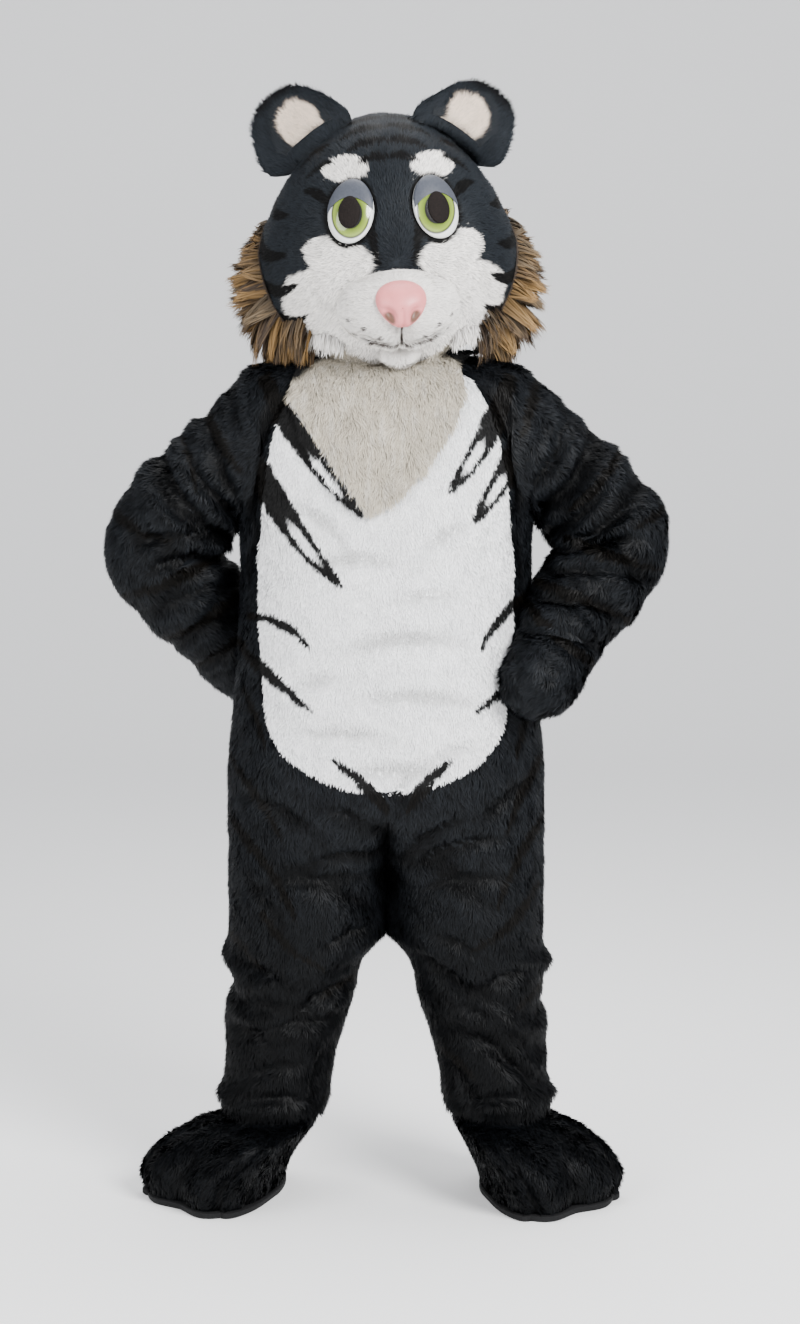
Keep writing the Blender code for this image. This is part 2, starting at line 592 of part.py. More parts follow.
def mitt(side):
    """A mitt: its cuff is inside the sleeve, and its end is closed."""
    turn = np.linspace(0, 2 * math.pi, 2 * ARMHOLE_ROWS + 1)[:-1]
    last = len(ARM_STATIONS[side]) - 1
    cuff = CUFF_STATION - 1 / ARM_STEPS
    hand = np.arange(CUFF_STATION + MITT_STEP, last + MITT_STEP / 2, MITT_STEP)
    stations = np.concatenate([[cuff, CUFF_STATION], hand])
    stations = stations[:, None] + 0 * turn
    outer = arm_surface(side, stations, turn[None, :] + 0 * stations)
    centre, _, along, _, _ = arm_frames(side, stations)
    normals = grid_normals(outer, centre)
    outer[:2] -= normals[:2] * (FUR_WALL + PAD_GAP)
    inner = outer - normals * FUR_WALL
    tip = centre[-1, 0] + along[-1, 0] * MITT_TIP
    ends = (tip, tip - along[-1, 0] * FUR_WALL)
    outer, inner = (
        np.concatenate([layer, np.broadcast_to(end, (1, *layer.shape[1:]))])
        for layer, end in zip((outer, inner), ends)
    )
    return wall(outer, inner, wrap=True)


def foot_frame(side):
    """Ankle point on the floor, and the foot's axes: towards the toes, and to the outer side."""
    centre_x, _, centre_y, _, _ = columns_at(LEG_SECTIONS, HEM_LEVEL)
    turn = math.radians(FOOT_TURN[side])
    toward = np.array([math.sin(turn) * side, -math.cos(turn), 0.0])
    outward = np.array([math.cos(turn) * side, math.sin(turn), 0.0])
    return np.array([centre_x * side, centre_y, 0.0]), toward, outward


def foot_ring(side, section, grow=0.0):
    """A foot's outline at one height. The toes bulge, and their line slants back to the outer side."""
    turn = foot_turns()
    ankle, toward, outward = foot_frame(side)
    ahead, across = np.cos(turn), np.sin(turn)
    reach = np.where(ahead > 0, section.front, section.back) + grow
    toe = np.abs(np.sin(turn / math.radians(TOE_ANGLE) * TOE_COUNT / 2 * math.pi))
    front = smoothstep((ahead - math.cos(math.radians(TOE_ANGLE))) / TOE_FADE)
    reach = reach + TOE_BULGE * toe * front
    width = (section.half_width + grow) * (1 + FOOT_FLARE * ahead) * signed_power(across, FOOT_WIDTH_POWER)
    length = section.centre + reach * signed_power(ahead, FOOT_LENGTH_POWER)
    length = length - TOE_SLANT * width * np.maximum(ahead, 0)
    width = width + FOOT_OUT[side] * section.out_share
    ring = ankle + length[:, None] * toward + width[:, None] * outward
    ring[:, 2] = section.height
    return ring


def foot_turns():
    """Turns of the foot's columns: closer round the toes than round the heel."""
    toes = math.radians(TOE_ANGLE)
    front = np.linspace(-toes, toes, TOE_COUNT * TOE_COLUMNS + 1)
    back = np.linspace(toes, 2 * math.pi - toes, HEEL_COLUMNS + 1)[1:-1]
    return np.concatenate([front, back])


def leg_ring_point(side, level, direction):
    """The inside of the trouser leg at a level, in plan directions about the leg's centre."""
    u = np.linspace(0, 2, 721)
    _, ring = suit_layers(u, np.full_like(u, level), side)
    centre = foot_frame(side)[0]
    angles = np.arctan2(ring[:, 1] - centre[1], ring[:, 0] - centre[0])
    wanted = np.arctan2(direction[:, 1], direction[:, 0])
    nearest = np.abs((angles[None, :] - wanted[:, None] + math.pi) % (2 * math.pi) - math.pi).argmin(1)
    return ring[nearest]


def foot(side):
    turn = foot_turns()
    ankle, toward, outward = foot_frame(side)
    rings = [foot_ring(side, section) for section in FOOT_SECTIONS]
    direction = np.cos(turn)[:, None] * toward + np.sin(turn)[:, None] * outward
    for level in COLLAR_LEVELS:
        ring = leg_ring_point(side, level, direction)
        inward = unit(np.array([ankle[0], ankle[1], level]) - ring)
        rings.append(ring + inward * COLLAR_CLEARANCE)
    outer = np.array(rings)
    normals = grid_normals(outer, outer.mean(axis=1, keepdims=True))
    normals[0, :, 2] = 0
    inner = outer - unit(normals) * FUR_WALL
    inner[0, :, 2] = outer[0, :, 2]
    return wall(outer, inner, wrap=True)


def sole(side):
    bottom = foot_ring(side, FOOT_SECTIONS[0], SOLE_SPREAD)
    bottom[:, 2] = 0
    top = bottom + np.array([0, 0, SOLE_THICKNESS])
    count = len(bottom)
    faces = [list(range(count)), list(range(2 * count - 1, count - 1, -1))]
    faces += [[i, (i + 1) % count, count + (i + 1) % count, count + i] for i in range(count)]
    return np.concatenate([bottom, top]), faces


def head_turn(points):
    """Turns points of the upright head about its centre to how it is worn."""
    yaw, roll = math.radians(HEAD_YAW), math.radians(HEAD_ROLL)
    around_z = np.array([
        [math.cos(yaw), -math.sin(yaw), 0],
        [math.sin(yaw), math.cos(yaw), 0],
        [0, 0, 1],
    ])
    around_y = np.array([
        [math.cos(roll), 0, math.sin(roll)],
        [0, 1, 0],
        [-math.sin(roll), 0, math.cos(roll)],
    ])
    return points @ (around_y @ around_z).T + np.array(HEAD_CENTRE)


def head_form(azimuth, elevation):
    """The head's outside. Angles are in radians: azimuth from the front towards the wearer's left."""
    ahead = np.cos(azimuth)
    cheek = CHEEK_WIDTH * np.exp(-(((np.degrees(elevation) - CHEEK_ELEVATION) / CHEEK_SPREAD) ** 2))
    width = HEAD_HALF_WIDTH + cheek * np.sin(azimuth) ** 2
    width = width * (1 - HEAD_TAPER * np.maximum(np.sin(elevation), 0))
    depth = np.where(ahead > 0, HEAD_FRONT, HEAD_BACK)
    height = np.where(elevation > 0, HEAD_UP, HEAD_DOWN)
    ring = np.cos(elevation)
    points = [width * ring * np.sin(azimuth), -depth * ring * ahead, height * np.sin(elevation)]
    return head_turn(np.stack(points, axis=-1))


def profile(pad, share):
    """Height of a rounded pad above its rim, at shares of the way out to the rim."""
    return (pad.height - PAD_EDGE) * np.clip(1 - share**2, 0, 1) ** (pad.power / 2)


def height_of(pad, side, azimuth, elevation):
    """Height of a pad's outside above the head at any place on it."""
    across = (np.degrees(azimuth) - pad.azimuth * side) / pad.half_across
    up = (np.degrees(elevation) - pad.elevation) / pad.half_up
    share = np.hypot(across, up)
    return np.where(share < 1, PAD_GAP + PAD_EDGE + profile(pad, share), 0)


def pad(shape, side=LEFT, under=None, rings=4, spokes=18):
    """A rounded pad on the head, or on the pad under it, as points and faces."""
    turn = np.linspace(0, 2 * math.pi, spokes + 1)[:-1]
    share = np.cos(np.linspace(0, math.pi / 2, rings + 1))[:, None]
    azimuth = np.radians(shape.azimuth * side + shape.half_across * share * np.cos(turn))
    elevation = np.radians(shape.elevation + shape.half_up * share * np.sin(turn))
    base = np.full(azimuth.shape, PAD_GAP)
    if under is not None:
        base = base + height_of(under, side, azimuth, elevation)
    height = base + PAD_EDGE + profile(shape, share)
    normals = normals_of(head_form, azimuth, elevation, facing=1)
    surface = head_form(azimuth, elevation)
    back, front = (surface + normals * layer[..., None] for layer in (base, height))
    return wall(front, back, wrap=True)


def opening_elevation(azimuth):
    share = smoothstep((np.cos(azimuth) - OPENING_TURN) / OPENING_TURN_SPAN)
    low, high = OPENING_ELEVATION_FRONT, OPENING_ELEVATION_BACK
    return np.radians(high + (low - high) * share)


def head_panel(first, last):
    """Half of the head's shell, between two azimuths in degrees."""
    gap = math.degrees(SEAM_GAP / 2 / HEAD_HALF_WIDTH)
    azimuth = np.radians(np.linspace(first, last, HEAD_COLUMNS // 2 + 1))
    azimuth[0] += math.radians(gap)
    azimuth[-1] -= math.radians(gap)
    share = np.linspace(0, 1, HEAD_ROWS + 1)[:, None]
    elevation = opening_elevation(azimuth) * (1 - share) + math.radians(HEAD_TOP_ELEVATION) * share
    azimuth = azimuth + 0 * elevation
    outer = head_form(azimuth, elevation)
    inner = outer - normals_of(head_form, azimuth, elevation, facing=1) * HEAD_WALL
    return wall(outer, inner, wrap=False)


def head_project(points):
    """The places on the head, just clear of it, that lie under points near it."""
    scaled = (points - np.array(HEAD_CENTRE)) / np.array([HEAD_HALF_WIDTH, HEAD_FRONT, HEAD_UP])
    azimuth = np.arctan2(scaled[..., 0], -scaled[..., 1])
    elevation = np.arcsin(np.clip(scaled[..., 2] / np.linalg.norm(scaled, axis=-1), -1, 1))
    azimuth = azimuth - math.radians(HEAD_YAW)
    normals = normals_of(head_form, azimuth, elevation, facing=1)
    return head_form(azimuth, elevation) + normals * PAD_GAP


def ear_grid(side, across, up):
    """The front of an ear: across runs from -1 to 1 outward, and up from 0 at the head to 1."""
    share = (across + 1) / 2
    azimuth = EAR_BASE_INNER[0] + (EAR_BASE_OUTER[0] - EAR_BASE_INNER[0]) * share
    elevation = EAR_BASE_INNER[1] + (EAR_BASE_OUTER[1] - EAR_BASE_INNER[1]) * share
    base = head_form(np.radians(azimuth) * side, np.radians(elevation))
    lean = unit(np.array(EAR_LEAN) * np.array([side, 1, 1]))
    length = EAR_LENGTH * (1 - np.abs(across) ** EAR_SQUARENESS) ** (1 / EAR_SQUARENESS)
    outward = unit(np.array(EAR_OUTWARD) * np.array([side, 1, 1]))
    widest = np.where(across < 0, EAR_INNER_SPREAD, EAR_OUTER_SPREAD)
    spread = widest * across * np.sin(up * math.pi * EAR_SPREAD_ARC)
    cup = EAR_CUP * (1 - across**2) * np.sin(up * math.pi / 2)
    return (
        base
        + lean * (length * up)[..., None]
        + outward * spread[..., None]
        + np.array([0, 1, 0]) * cup[..., None]
    )


def ear(side):
    across = EAR_SIDE_SHARE * np.sin(np.linspace(-math.pi / 2, math.pi / 2, EAR_COLUMNS + 1))[None, :]
    up = np.sin(np.linspace(0, math.pi / 2, EAR_ROWS + 1))[:, None]
    across, up = np.broadcast_arrays(across, up)
    front = ear_grid(side, across, up)
    thick = EAR_EDGE + (EAR_THICKNESS - EAR_EDGE) * (1 - across**2) * (1 - up**2)
    back = front + np.array([0, 1, 0]) * thick[..., None]
    front[0], back[0] = head_project(front[0]), head_project(back[0])
    return wall(front, back, wrap=False)


def inner_ear(side):
    across = np.linspace(-INNER_EAR_SIZE, INNER_EAR_SIZE, 7)[None, :]
    share = np.linspace(0, 1, 5)[:, None]
    round_off = np.sqrt(1 - INNER_EAR_ROUNDING * (across / INNER_EAR_SIZE) ** 2)
    up = INNER_EAR_LOW + (INNER_EAR_HIGH * round_off - INNER_EAR_LOW) * share
    across, up = np.broadcast_arrays(across, up)
    behind = ear_grid(side, across, up) - np.array([0, INNER_EAR_GAP, 0])
    front = behind - np.array([0, INNER_EAR_HEIGHT, 0])
    return wall(front, behind, wrap=False)


def ruff(side):
    """A cheek ruff: long hair in locks one above another, combed out and a little down."""
    share = np.linspace(0, 1, RUFF_ROWS + 1)
    degrees = RUFF_SECTIONS[0].elevation * (1 - share) + RUFF_SECTIONS[-1].elevation * share
    middle, half_across, reach, droop = columns_at(RUFF_SECTIONS, degrees)
    lock = (share * RUFF_LOCKS) % 1.0
    reach = reach * (1 - RUFF_LOCK_DEPTH * (1 - lock))
    across = np.linspace(-1, 1, RUFF_COLUMNS + 1)
    azimuth = np.radians(middle[:, None] + half_across[:, None] * across) * side
    elevation = np.radians(degrees)[:, None] + 0 * azimuth
    surface = head_form(azimuth, elevation)
    back = surface + normals_of(head_form, azimuth, elevation, facing=1) * PAD_GAP
    away = unit((surface - np.array(HEAD_CENTRE)) * np.array([1, 1, 0]))
    droop = droop + RUFF_EXTRA_DROOP[side] * share
    away = unit(away - np.array([0, 0, 1]) * droop[:, None, None])
    height = PAD_EDGE + reach[:, None] * (1 - np.abs(across) ** RUFF_ROUNDING)
    front = back + away * height[..., None]
    return wall(front, back, wrap=False)


def suit_out(azimuth, level, distance):
    """Points on the suit at azimuths about the neck, moved out by a distance."""
    u = np.abs(azimuth) / (math.pi / 2)
    side = np.where(azimuth < 0, RIGHT, LEFT)
    points = suit_form(u, level) + normals_of(suit_form, u, level, facing=1) * distance
    return points * np.stack([side, np.ones_like(side), np.ones_like(side)], axis=-1)


def neck_drape(first, last, end_level, rows):
    """The drape from the head's opening to the chest or back, between two azimuths in degrees."""
    gap = math.degrees(SEAM_GAP / 2 / DRAPE_HALF_WIDTH)
    columns = HEAD_COLUMNS // 2
    azimuth = np.radians(np.linspace(first, last, columns + 1))
    azimuth[0] += math.radians(gap)
    azimuth[-1] -= math.radians(gap)
    wrapped = (azimuth + math.pi) % (2 * math.pi) - math.pi
    wrapped = np.where(azimuth >= math.pi, wrapped, azimuth)
    ends = end_level(np.degrees(wrapped))
    elevation = opening_elevation(azimuth)
    edge = head_form(azimuth, elevation)
    normals = normals_of(head_form, azimuth, elevation, facing=1)
    middle = edge - normals * HEAD_WALL / 2
    down = np.array([0, 0, -1.0])
    outer, inner = [middle + normals * FUR_WALL / 2], [middle - normals * FUR_WALL / 2]
    outer[0], inner[0] = outer[0] + down * PAD_GAP * 2, inner[0] + down * PAD_GAP * 2
    for share in np.linspace(0, 1, rows):
        level = DRAPE_LEVEL + (ends - DRAPE_LEVEL) * share
        outer.append(suit_out(wrapped, level, BIB_CLEARANCE + FUR_WALL))
        inner.append(suit_out(wrapped, level, BIB_CLEARANCE))
    return wall(np.array(outer), np.array(inner), wrap=False)


def bib_ends(azimuth):
    share = smoothstep(np.abs(azimuth - BIB_TIP_AZIMUTH) / BIB_V_HALF_ANGLE) ** BIB_V_POWER
    return BIB_TIP_LEVEL + (BIB_SIDE_LEVEL - BIB_TIP_LEVEL) * share


def collar_ends(azimuth):
    share = smoothstep((180 - np.abs(azimuth)) / COLLAR_HALF_ANGLE) ** COLLAR_POWER
    return COLLAR_LEVEL + (BIB_SIDE_LEVEL - COLLAR_LEVEL) * share


def build():
    clear_scene()
    collection = bpy.data.collections.new("tiger_mascot_costume")
    bpy.context.scene.collection.children.link(collection)
    stand = bpy.data.objects.new("costume_floor_point", None)
    stand.location = (0, 0, -HOLD_HEIGHT)
    collection.objects.link(stand)

    def add(name, shape, colour, roughness=FUR_ROUGHNESS):
        return add_object(name, *shape, collection, stand, colour, roughness)

    add("belly_panel", belly_panel(), FUR_WHITE)
    for side, word in SIDE_NAMES.items():
        add(f"front_{word}", front_panel(side), FUR_BLACK)
        add(f"back_{word}", back_panel(side), FUR_BLACK)
        add(f"sleeve_{word}", sleeve(side), FUR_BLACK)
        add(f"mitt_{word}", mitt(side), FUR_BLACK)
        add(f"foot_{word}", foot(side), FUR_BLACK)
        add(f"sole_{word}", sole(side), SOLE_BLACK)
        add(f"ear_{word}", ear(side), FUR_SLATE)
        add(f"inner_ear_{word}", inner_ear(side), FUR_CREAM)
        add(f"ruff_{word}", ruff(side), FUR_TAN)
        add(f"eye_{word}", pad(EYE, side), EYE_GREEN, HARD_ROUGHNESS)
        add(f"pupil_{word}", pad(PUPIL, side, under=EYE, rings=3), MESH_BROWN)
    add("head_face", head_panel(-90, 90), FUR_WHITE)
    add("head_back", head_panel(90, 270), FUR_SLATE)
    add("muzzle", pad(MUZZLE, rings=6, spokes=24), FUR_WHITE)
    add("chin", pad(CHIN, rings=3), FUR_WHITE)
    add("nose", pad(NOSE, under=MUZZLE), NOSE_PINK, HARD_ROUGHNESS)
    add("neck_bib", neck_drape(-90, 90, bib_ends, 8), FUR_CREAM)
    add("neck_collar", neck_drape(90, 270, collar_ends, 5), FUR_BLACK)


build()
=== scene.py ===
"""The looks of the tiger mascot costume: its fur cloth, the pile on it, the head's fittings and the studio.

Metres, +Z up, the front faces -Y and the wearer's left side is +X. The rows of the tables are in
millimetres. Their heights are above the floor, and stand() moves points down to the frame, whose origin
is at the wearer's shoulders.
"""

from collections import namedtuple
import math

import bmesh
import bpy
import mathutils
import numpy as np
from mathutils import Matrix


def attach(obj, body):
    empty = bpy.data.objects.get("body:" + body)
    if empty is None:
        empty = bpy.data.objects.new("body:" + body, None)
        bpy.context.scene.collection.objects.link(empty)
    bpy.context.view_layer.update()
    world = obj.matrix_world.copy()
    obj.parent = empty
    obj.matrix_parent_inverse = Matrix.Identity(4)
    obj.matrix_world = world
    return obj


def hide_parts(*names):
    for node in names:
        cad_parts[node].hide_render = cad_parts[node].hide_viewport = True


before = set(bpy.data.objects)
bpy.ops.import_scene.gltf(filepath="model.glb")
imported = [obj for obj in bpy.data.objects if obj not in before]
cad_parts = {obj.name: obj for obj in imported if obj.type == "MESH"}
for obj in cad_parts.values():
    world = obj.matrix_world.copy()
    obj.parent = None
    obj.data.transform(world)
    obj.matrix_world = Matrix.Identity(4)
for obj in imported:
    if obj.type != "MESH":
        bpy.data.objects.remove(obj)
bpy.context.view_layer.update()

# Sizes shared with the solids.
HOLD_HEIGHT = 1.42
FUR_WALL = 0.006
HEAD_WALL = 0.014
SEAM_GAP = 0.0003
PAD_GAP = 0.001

RIGHT, LEFT = -1, 1
SIDE_NAMES = {RIGHT: "right", LEFT: "left"}
MIRROR = {side: np.array([side, 1, 1]) for side in SIDE_NAMES}


def in_metres(kind, plain, rows):
    """Rows of a kind, given in millimetres apart from the columns named in plain."""
    scales = [1 if field in plain.split() else 1000 for field in kind._fields]
    return tuple(kind(*(value / scale for value, scale in zip(row, scales))) for row in rows)


# The suit is one surface of heights ("levels") and turns ("u"): u is 0 at centre front, 1 at the
# side seam and 2 at centre back. Below HIP_LEVEL it parts into two legs.
NECK_LEVEL = 1.455
ARMHOLE_TOP, ARMHOLE_BOTTOM = 1.368, 1.190
ARMHOLE_MIDDLE, ARMHOLE_HALF = (ARMHOLE_TOP + ARMHOLE_BOTTOM) / 2, (ARMHOLE_TOP - ARMHOLE_BOTTOM) / 2
ARMHOLE_DEPTH = 0.37
BELLY_TURN_LEVEL, BELLY_BOTTOM = 0.860, 0.731
HIP_LEVEL, CROTCH_LEVEL = 0.700, 0.470
HEM_LEVEL = 0.155
SECTION_POWER = 0.87
U_SPAN = 0.33
FOLD_SEAM_FADE, FOLD_HEM_FADE = 0.12, 0.02
LEVEL_SLACK = 0.001

SuitSection = namedtuple("SuitSection", "level side_rise half_width front back")
SUIT_SECTIONS = in_metres(SuitSection, "", (
    (1455, 25, 112, 108, 100), (1435, 40, 158, 126, 128), (1405, 62, 207, 144, 152),
    (1365, 86, 250, 160, 170), (1315, 78, 269, 175, 180), (1255, 45, 268, 188, 184),
    (1200, 15, 263, 198, 184), (1140, 0, 257, 207, 182), (1060, 0, 257, 214, 180),
    (980, 0, 261, 219, 181), (900, 0, 266, 221, 186), (820, 0, 273, 218, 193), (740, 0, 279, 208, 199),
    (660, 0, 279, 197, 201), (580, 0, 279, 187, 198), (470, 0, 278, 177, 190),
))
LegSection = namedtuple("LegSection", "level centre_x half_width centre_y front back")
LEG_SECTIONS = in_metres(LegSection, "", (
    (700, 139.5, 139.2, 0, 186, 195), (580, 139.5, 139.2, 0, 172, 186), (470, 139.5, 139, 4, 160, 174),
    (440, 148, 130, 4, 153, 163), (416, 160, 121.5, 3, 147, 153), (389, 163, 115, 1, 140, 144),
    (350, 168, 112, 0, 131, 133), (310, 176.5, 107.5, 0, 123, 125), (260, 184, 99, -4, 113, 118),
    (210, 190, 95, -9, 107, 114), (180, 195, 97, -12, 106, 113), (155, 197.5, 93, -14, 101, 108),
))
# Half the belly panel's width, seen from the front, down to where its rounded end begins.
BellyEdge = namedtuple("BellyEdge", "level half_width")
BELLY_EDGES = in_metres(BellyEdge, "", (
    (1455, 90), (1400, 152), (1310, 192), (1220, 214), (1120, 224), (1040, 223), (950, 217), (880, 210),
    (800, 192),
))

# The largest folds. Slant is in degrees from level, and a negative depth is a trough.
Fold = namedtuple("Fold", "u level length width depth slant")
SUIT_FOLDS = {
    RIGHT: in_metres(Fold, "u slant", (
        (0.55, 405, 90, 16, 10, -20), (0.5, 350, 100, 16, -11, 8), (0.55, 318, 80, 16, 9, 12),
        (1.05, 432, 60, 18, 11, 15), (1.05, 380, 70, 17, -12, 12), (1.6, 365, 100, 18, -10, -10),
        (1.55, 318, 90, 18, 8, 8), (0.85, 182, 80, 12, 9, 6), (1.4, 190, 80, 14, 8, -8),
        (0.3, 560, 110, 20, -8, 35), (1.45, 540, 130, 22, -9, -25),
    )),
    LEFT: in_metres(Fold, "u slant", (
        (1, 410, 80, 18, 12, -12), (0.45, 385, 90, 15, -10, -28), (0.5, 335, 110, 16, 10, -14),
        (0.6, 290, 90, 16, -10, -10), (1, 345, 70, 16, -10, 10), (1.6, 350, 100, 18, -10, 12),
        (0.7, 232, 80, 14, 7, 20), (0.95, 184, 80, 12, 9, -8), (0.45, 182, 70, 12, 7, 6),
        (0.35, 585, 110, 20, -8, -35), (1.5, 530, 130, 22, -9, 22),
    )),
}

# Arms. The sleeves run down to CUFF_STATION, and the mitts from just above it.
ArmStation = namedtuple("ArmStation", "x y z radius")
ARM_STATIONS = {
    RIGHT: in_metres(ArmStation, "", (
        (255, 0, 1326, 92), (286, 3, 1286, 88), (321, 8, 1248, 97), (351, 14, 1211, 104),
        (381, 22, 1170, 106), (400, 32, 1127, 102), (375, 50, 1084, 96), (343, 72, 1046, 92),
        (311, 94, 1009, 91), (286, 117, 973, 85), (266, 140, 940, 78), (241, 162, 910, 68),
        (222, 180, 884, 64), (207, 194, 862, 50),
    )),
    LEFT: in_metres(ArmStation, "", (
        (264, 0, 1334, 104), (295, 0, 1294, 101), (326, 0, 1253, 99), (358, -1, 1215, 103),
        (387, -4, 1177, 105), (400, -12, 1134, 98), (374, -34, 1092, 94), (343, -60, 1055, 90),
        (317, -88, 1018, 86), (297, -113, 983, 80), (280, -136, 950, 71), (264, -156, 922, 69),
        (248, -172, 902, 63), (236, -183, 884, 46),
    )),
}
CUFF_STATION = 10
SLEEVE_CAP_STATIONS = 2.0
SLEEVE_FOLD_START, SLEEVE_FOLD_FADE, FINE_FOLD_FADE = 0.6, 0.8, 0.6
ARM_STEPS = 1.5
MITT_TIP = 0.022
# The finger grooves: turns and width in degrees.
GROOVE_TURNS, GROOVE_WIDTH, GROOVE_DEPTH = (60, 95, 130), 5, 0.0045
REST_GAP = 0.0025

# A fold across a sleeve: along is in arm stations, around is in degrees from the outer side.
SleeveFold = namedtuple("SleeveFold", "along around length width depth slant")
SLEEVE_FOLDS = {
    RIGHT: in_metres(SleeveFold, "along around length width slant", (
        (1.7, 40, 80, 0.42, 13, 10), (2.5, 70, 90, 0.45, -13, 8), (3.2, 60, 80, 0.45, 10, 6),
        (4.2, 120, 70, 0.5, -14, 4), (5.6, 110, 80, 0.45, -13, -4), (6.4, 80, 90, 0.45, 9, -6),
        (8, 90, 90, 0.5, -7, -6), (2.6, 250, 90, 0.5, -11, 8), (5.2, 240, 80, 0.5, -11, 0),
    )),
    LEFT: in_metres(SleeveFold, "along around length width slant", (
        (1.8, 50, 80, 0.45, -13, 8), (2.6, 60, 80, 0.45, 11, 8), (3.5, 70, 80, 0.5, -13, 4),
        (4.4, 40, 70, 0.45, 10, 4), (5.4, 100, 80, 0.45, -14, -4), (6.3, 70, 80, 0.45, 9, -4),
        (7.6, 80, 80, 0.45, -10, -6), (2.8, 250, 90, 0.5, -11, 8), (5.3, 250, 80, 0.5, -11, 0),
    )),
}

# Feet. Lengths run along the foot, which turns out from straight ahead. The sole stands FOOT_OUT
# to the outer side of the ankle, and out_share is how much of that is left at each height.
FOOT_TURN = {RIGHT: 30, LEFT: 24}
FOOT_OUT = {RIGHT: 0.087, LEFT: 0.067}
SOLE_THICKNESS = 0.012
FootSection = namedtuple("FootSection", "height out_share centre front back half_width")
FOOT_SECTIONS = in_metres(FootSection, "out_share", (
    (12.3, 1, 22, 143, 148, 101), (45, 0.97, 24, 151, 155, 110), (85, 0.7, 22, 147, 149, 111),
    (115, 0.38, 14, 128, 134, 104), (136, 0.12, 4, 98, 116, 93),
))
FOOT_FLARE, TOE_SLANT = 0.5, 0.3
FOOT_WIDTH_POWER, FOOT_LENGTH_POWER = 0.70, 0.80
COLLAR_LEVELS = (0.150, 0.185)
COLLAR_CLEARANCE = 0.0045
TOE_COUNT = 4
TOE_BULGE = 0.013
TOE_ANGLE, TOE_FADE = 60, 0.1
TOE_SEAMS, TOE_SEAM_WIDTH, TOE_SEAM_DEPTH = (-60, -30, 0, 30, 60), 2.6, 0.0060
# TOE_SEAM_SHADE is how dark the grooves of the toe seams are painted, as shade.
TOE_SEAM_TOP, TOE_SEAM_FADE, TOE_SEAM_SHADE = 0.118, 0.03, 0.8
SOLE_SPREAD = 0.004

# Head: an egg about HEAD_CENTRE, turned a little to the wearer's left and tipped.
HEAD_CENTRE = np.array([0.002, -0.012, 1.668])
HEAD_HALF_WIDTH, HEAD_FRONT, HEAD_BACK = 0.222, 0.205, 0.215
HEAD_UP, HEAD_DOWN = 0.235, 0.234
HEAD_TAPER = 0.18
HEAD_YAW, HEAD_ROLL = 4, -3.5
CHEEK_WIDTH, CHEEK_ELEVATION, CHEEK_SPREAD = 0.008, -18, 24
HEAD_TOP_ELEVATION = 89.6
OPENING_ELEVATION_FRONT, OPENING_ELEVATION_BACK = -63, -46
OPENING_TURN, OPENING_TURN_SPAN = 0.70, 0.28

# Pads on the head: their middle and half sizes in degrees, their height, and how square they are.
Pad = namedtuple("Pad", "azimuth elevation half_across half_up height power")
MUZZLE = Pad(0, -31, 31, 17.5, 0.064, 1.3)
CHIN = Pad(0, -54, 13, 5.4, 0.026, 1.0)
NOSE = Pad(0, -24, 12, 7.5, 0.022, 0.9)
EYE = Pad(20, 12, 11.0, 13.5, 0.016, 1.0)
PUPIL = Pad(19.5, 10.5, 4.8, 6.4, 0.004, 1.0)
PAD_EDGE, THINNEST_PAD = 0.002, 0.0008
# An eye's lid, in shares of the eye's half sizes, and in metres.
LID_LOW, LID_ARCH, LID_GAP, LID_THICKNESS = 0.34, 0.42, 0.0006, 0.0035
# Cheek ruffs, from the top down: reach is how far the hair stands out, and droop how much it falls.
RuffSection = namedtuple("RuffSection", "elevation middle half_across reach droop")
RUFF_SECTIONS = in_metres(RuffSection, "elevation middle half_across droop", (
    (15, 100, 5, 10, 0), (5, 99, 12, 32, 0), (-7, 98, 17, 52, 0.08), (-19, 97, 19, 68, 0.15),
    (-31, 96, 19, 86, 0.26), (-44, 95, 15, 80, 0.4),
))
RUFF_LOCKS, RUFF_LOCK_DEPTH = 5, 0.20
RUFF_EXTRA_DROOP = {RIGHT: 0.0, LEFT: 0.22}
RUFF_ROUNDING = 1.6

EAR_BASE_INNER, EAR_BASE_OUTER = (44, 66), (84, 35)
EAR_LENGTH, EAR_CUP = 0.118, 0.030
EAR_INNER_SPREAD, EAR_OUTER_SPREAD = 0.010, 0.030
EAR_THICKNESS, EAR_EDGE = 0.024, 0.010
EAR_LEAN = (0.71, -0.10, 0.71)
EAR_OUTWARD = (0.86, 0.0, -0.51)
EAR_SQUARENESS, EAR_SIDE_SHARE, EAR_SPREAD_ARC = 2.5, 0.985, 0.8
INNER_EAR_SIZE, INNER_EAR_GAP, INNER_EAR_THICKNESS = 0.62, 0.0014, 0.0015
INNER_EAR_LOW, INNER_EAR_HIGH, INNER_EAR_ROUNDING = 0.24, 0.80, 0.9
INNER_PATCH_UP, INNER_PATCH_RADIUS = 0.42, 0.035
EAR_TIP_DISTANCE, EAR_TIP_FADE = 0.305, 0.03

BIB_TIP_LEVEL, BIB_SIDE_LEVEL = 1.200, 1.438
BIB_TIP_AZIMUTH, BIB_V_HALF_ANGLE = -5, 58
BIB_V_POWER = 0.7
COLLAR_LEVEL, COLLAR_HALF_ANGLE, COLLAR_POWER = 1.335, 75, 0.8
DRAPE_LEVEL, DRAPE_HALF_WIDTH = 1.450, 0.13
BIB_CLEARANCE = 0.0045
BIB_DARK_AZIMUTH, BIB_PALE = 52, 0.12

# The step in a surface's parameters with which its normals are found.
STEP = 1e-4

# The cloth under the fur, and how high the fur stands on it.
CLOTH = 0.0012
PILE = 0.0045
FACE_PILE = 0.0030
SEAM_FADE, SEAM_REACH, SEAM_LAP = 0.012, 0.03, 0.0008
PAD_PILE, EAR_PILE = 0.0015, 0.002
# The fold depth at which a sleeve's painted shade is full.
SLEEVE_FOLD_SHADE = 0.013
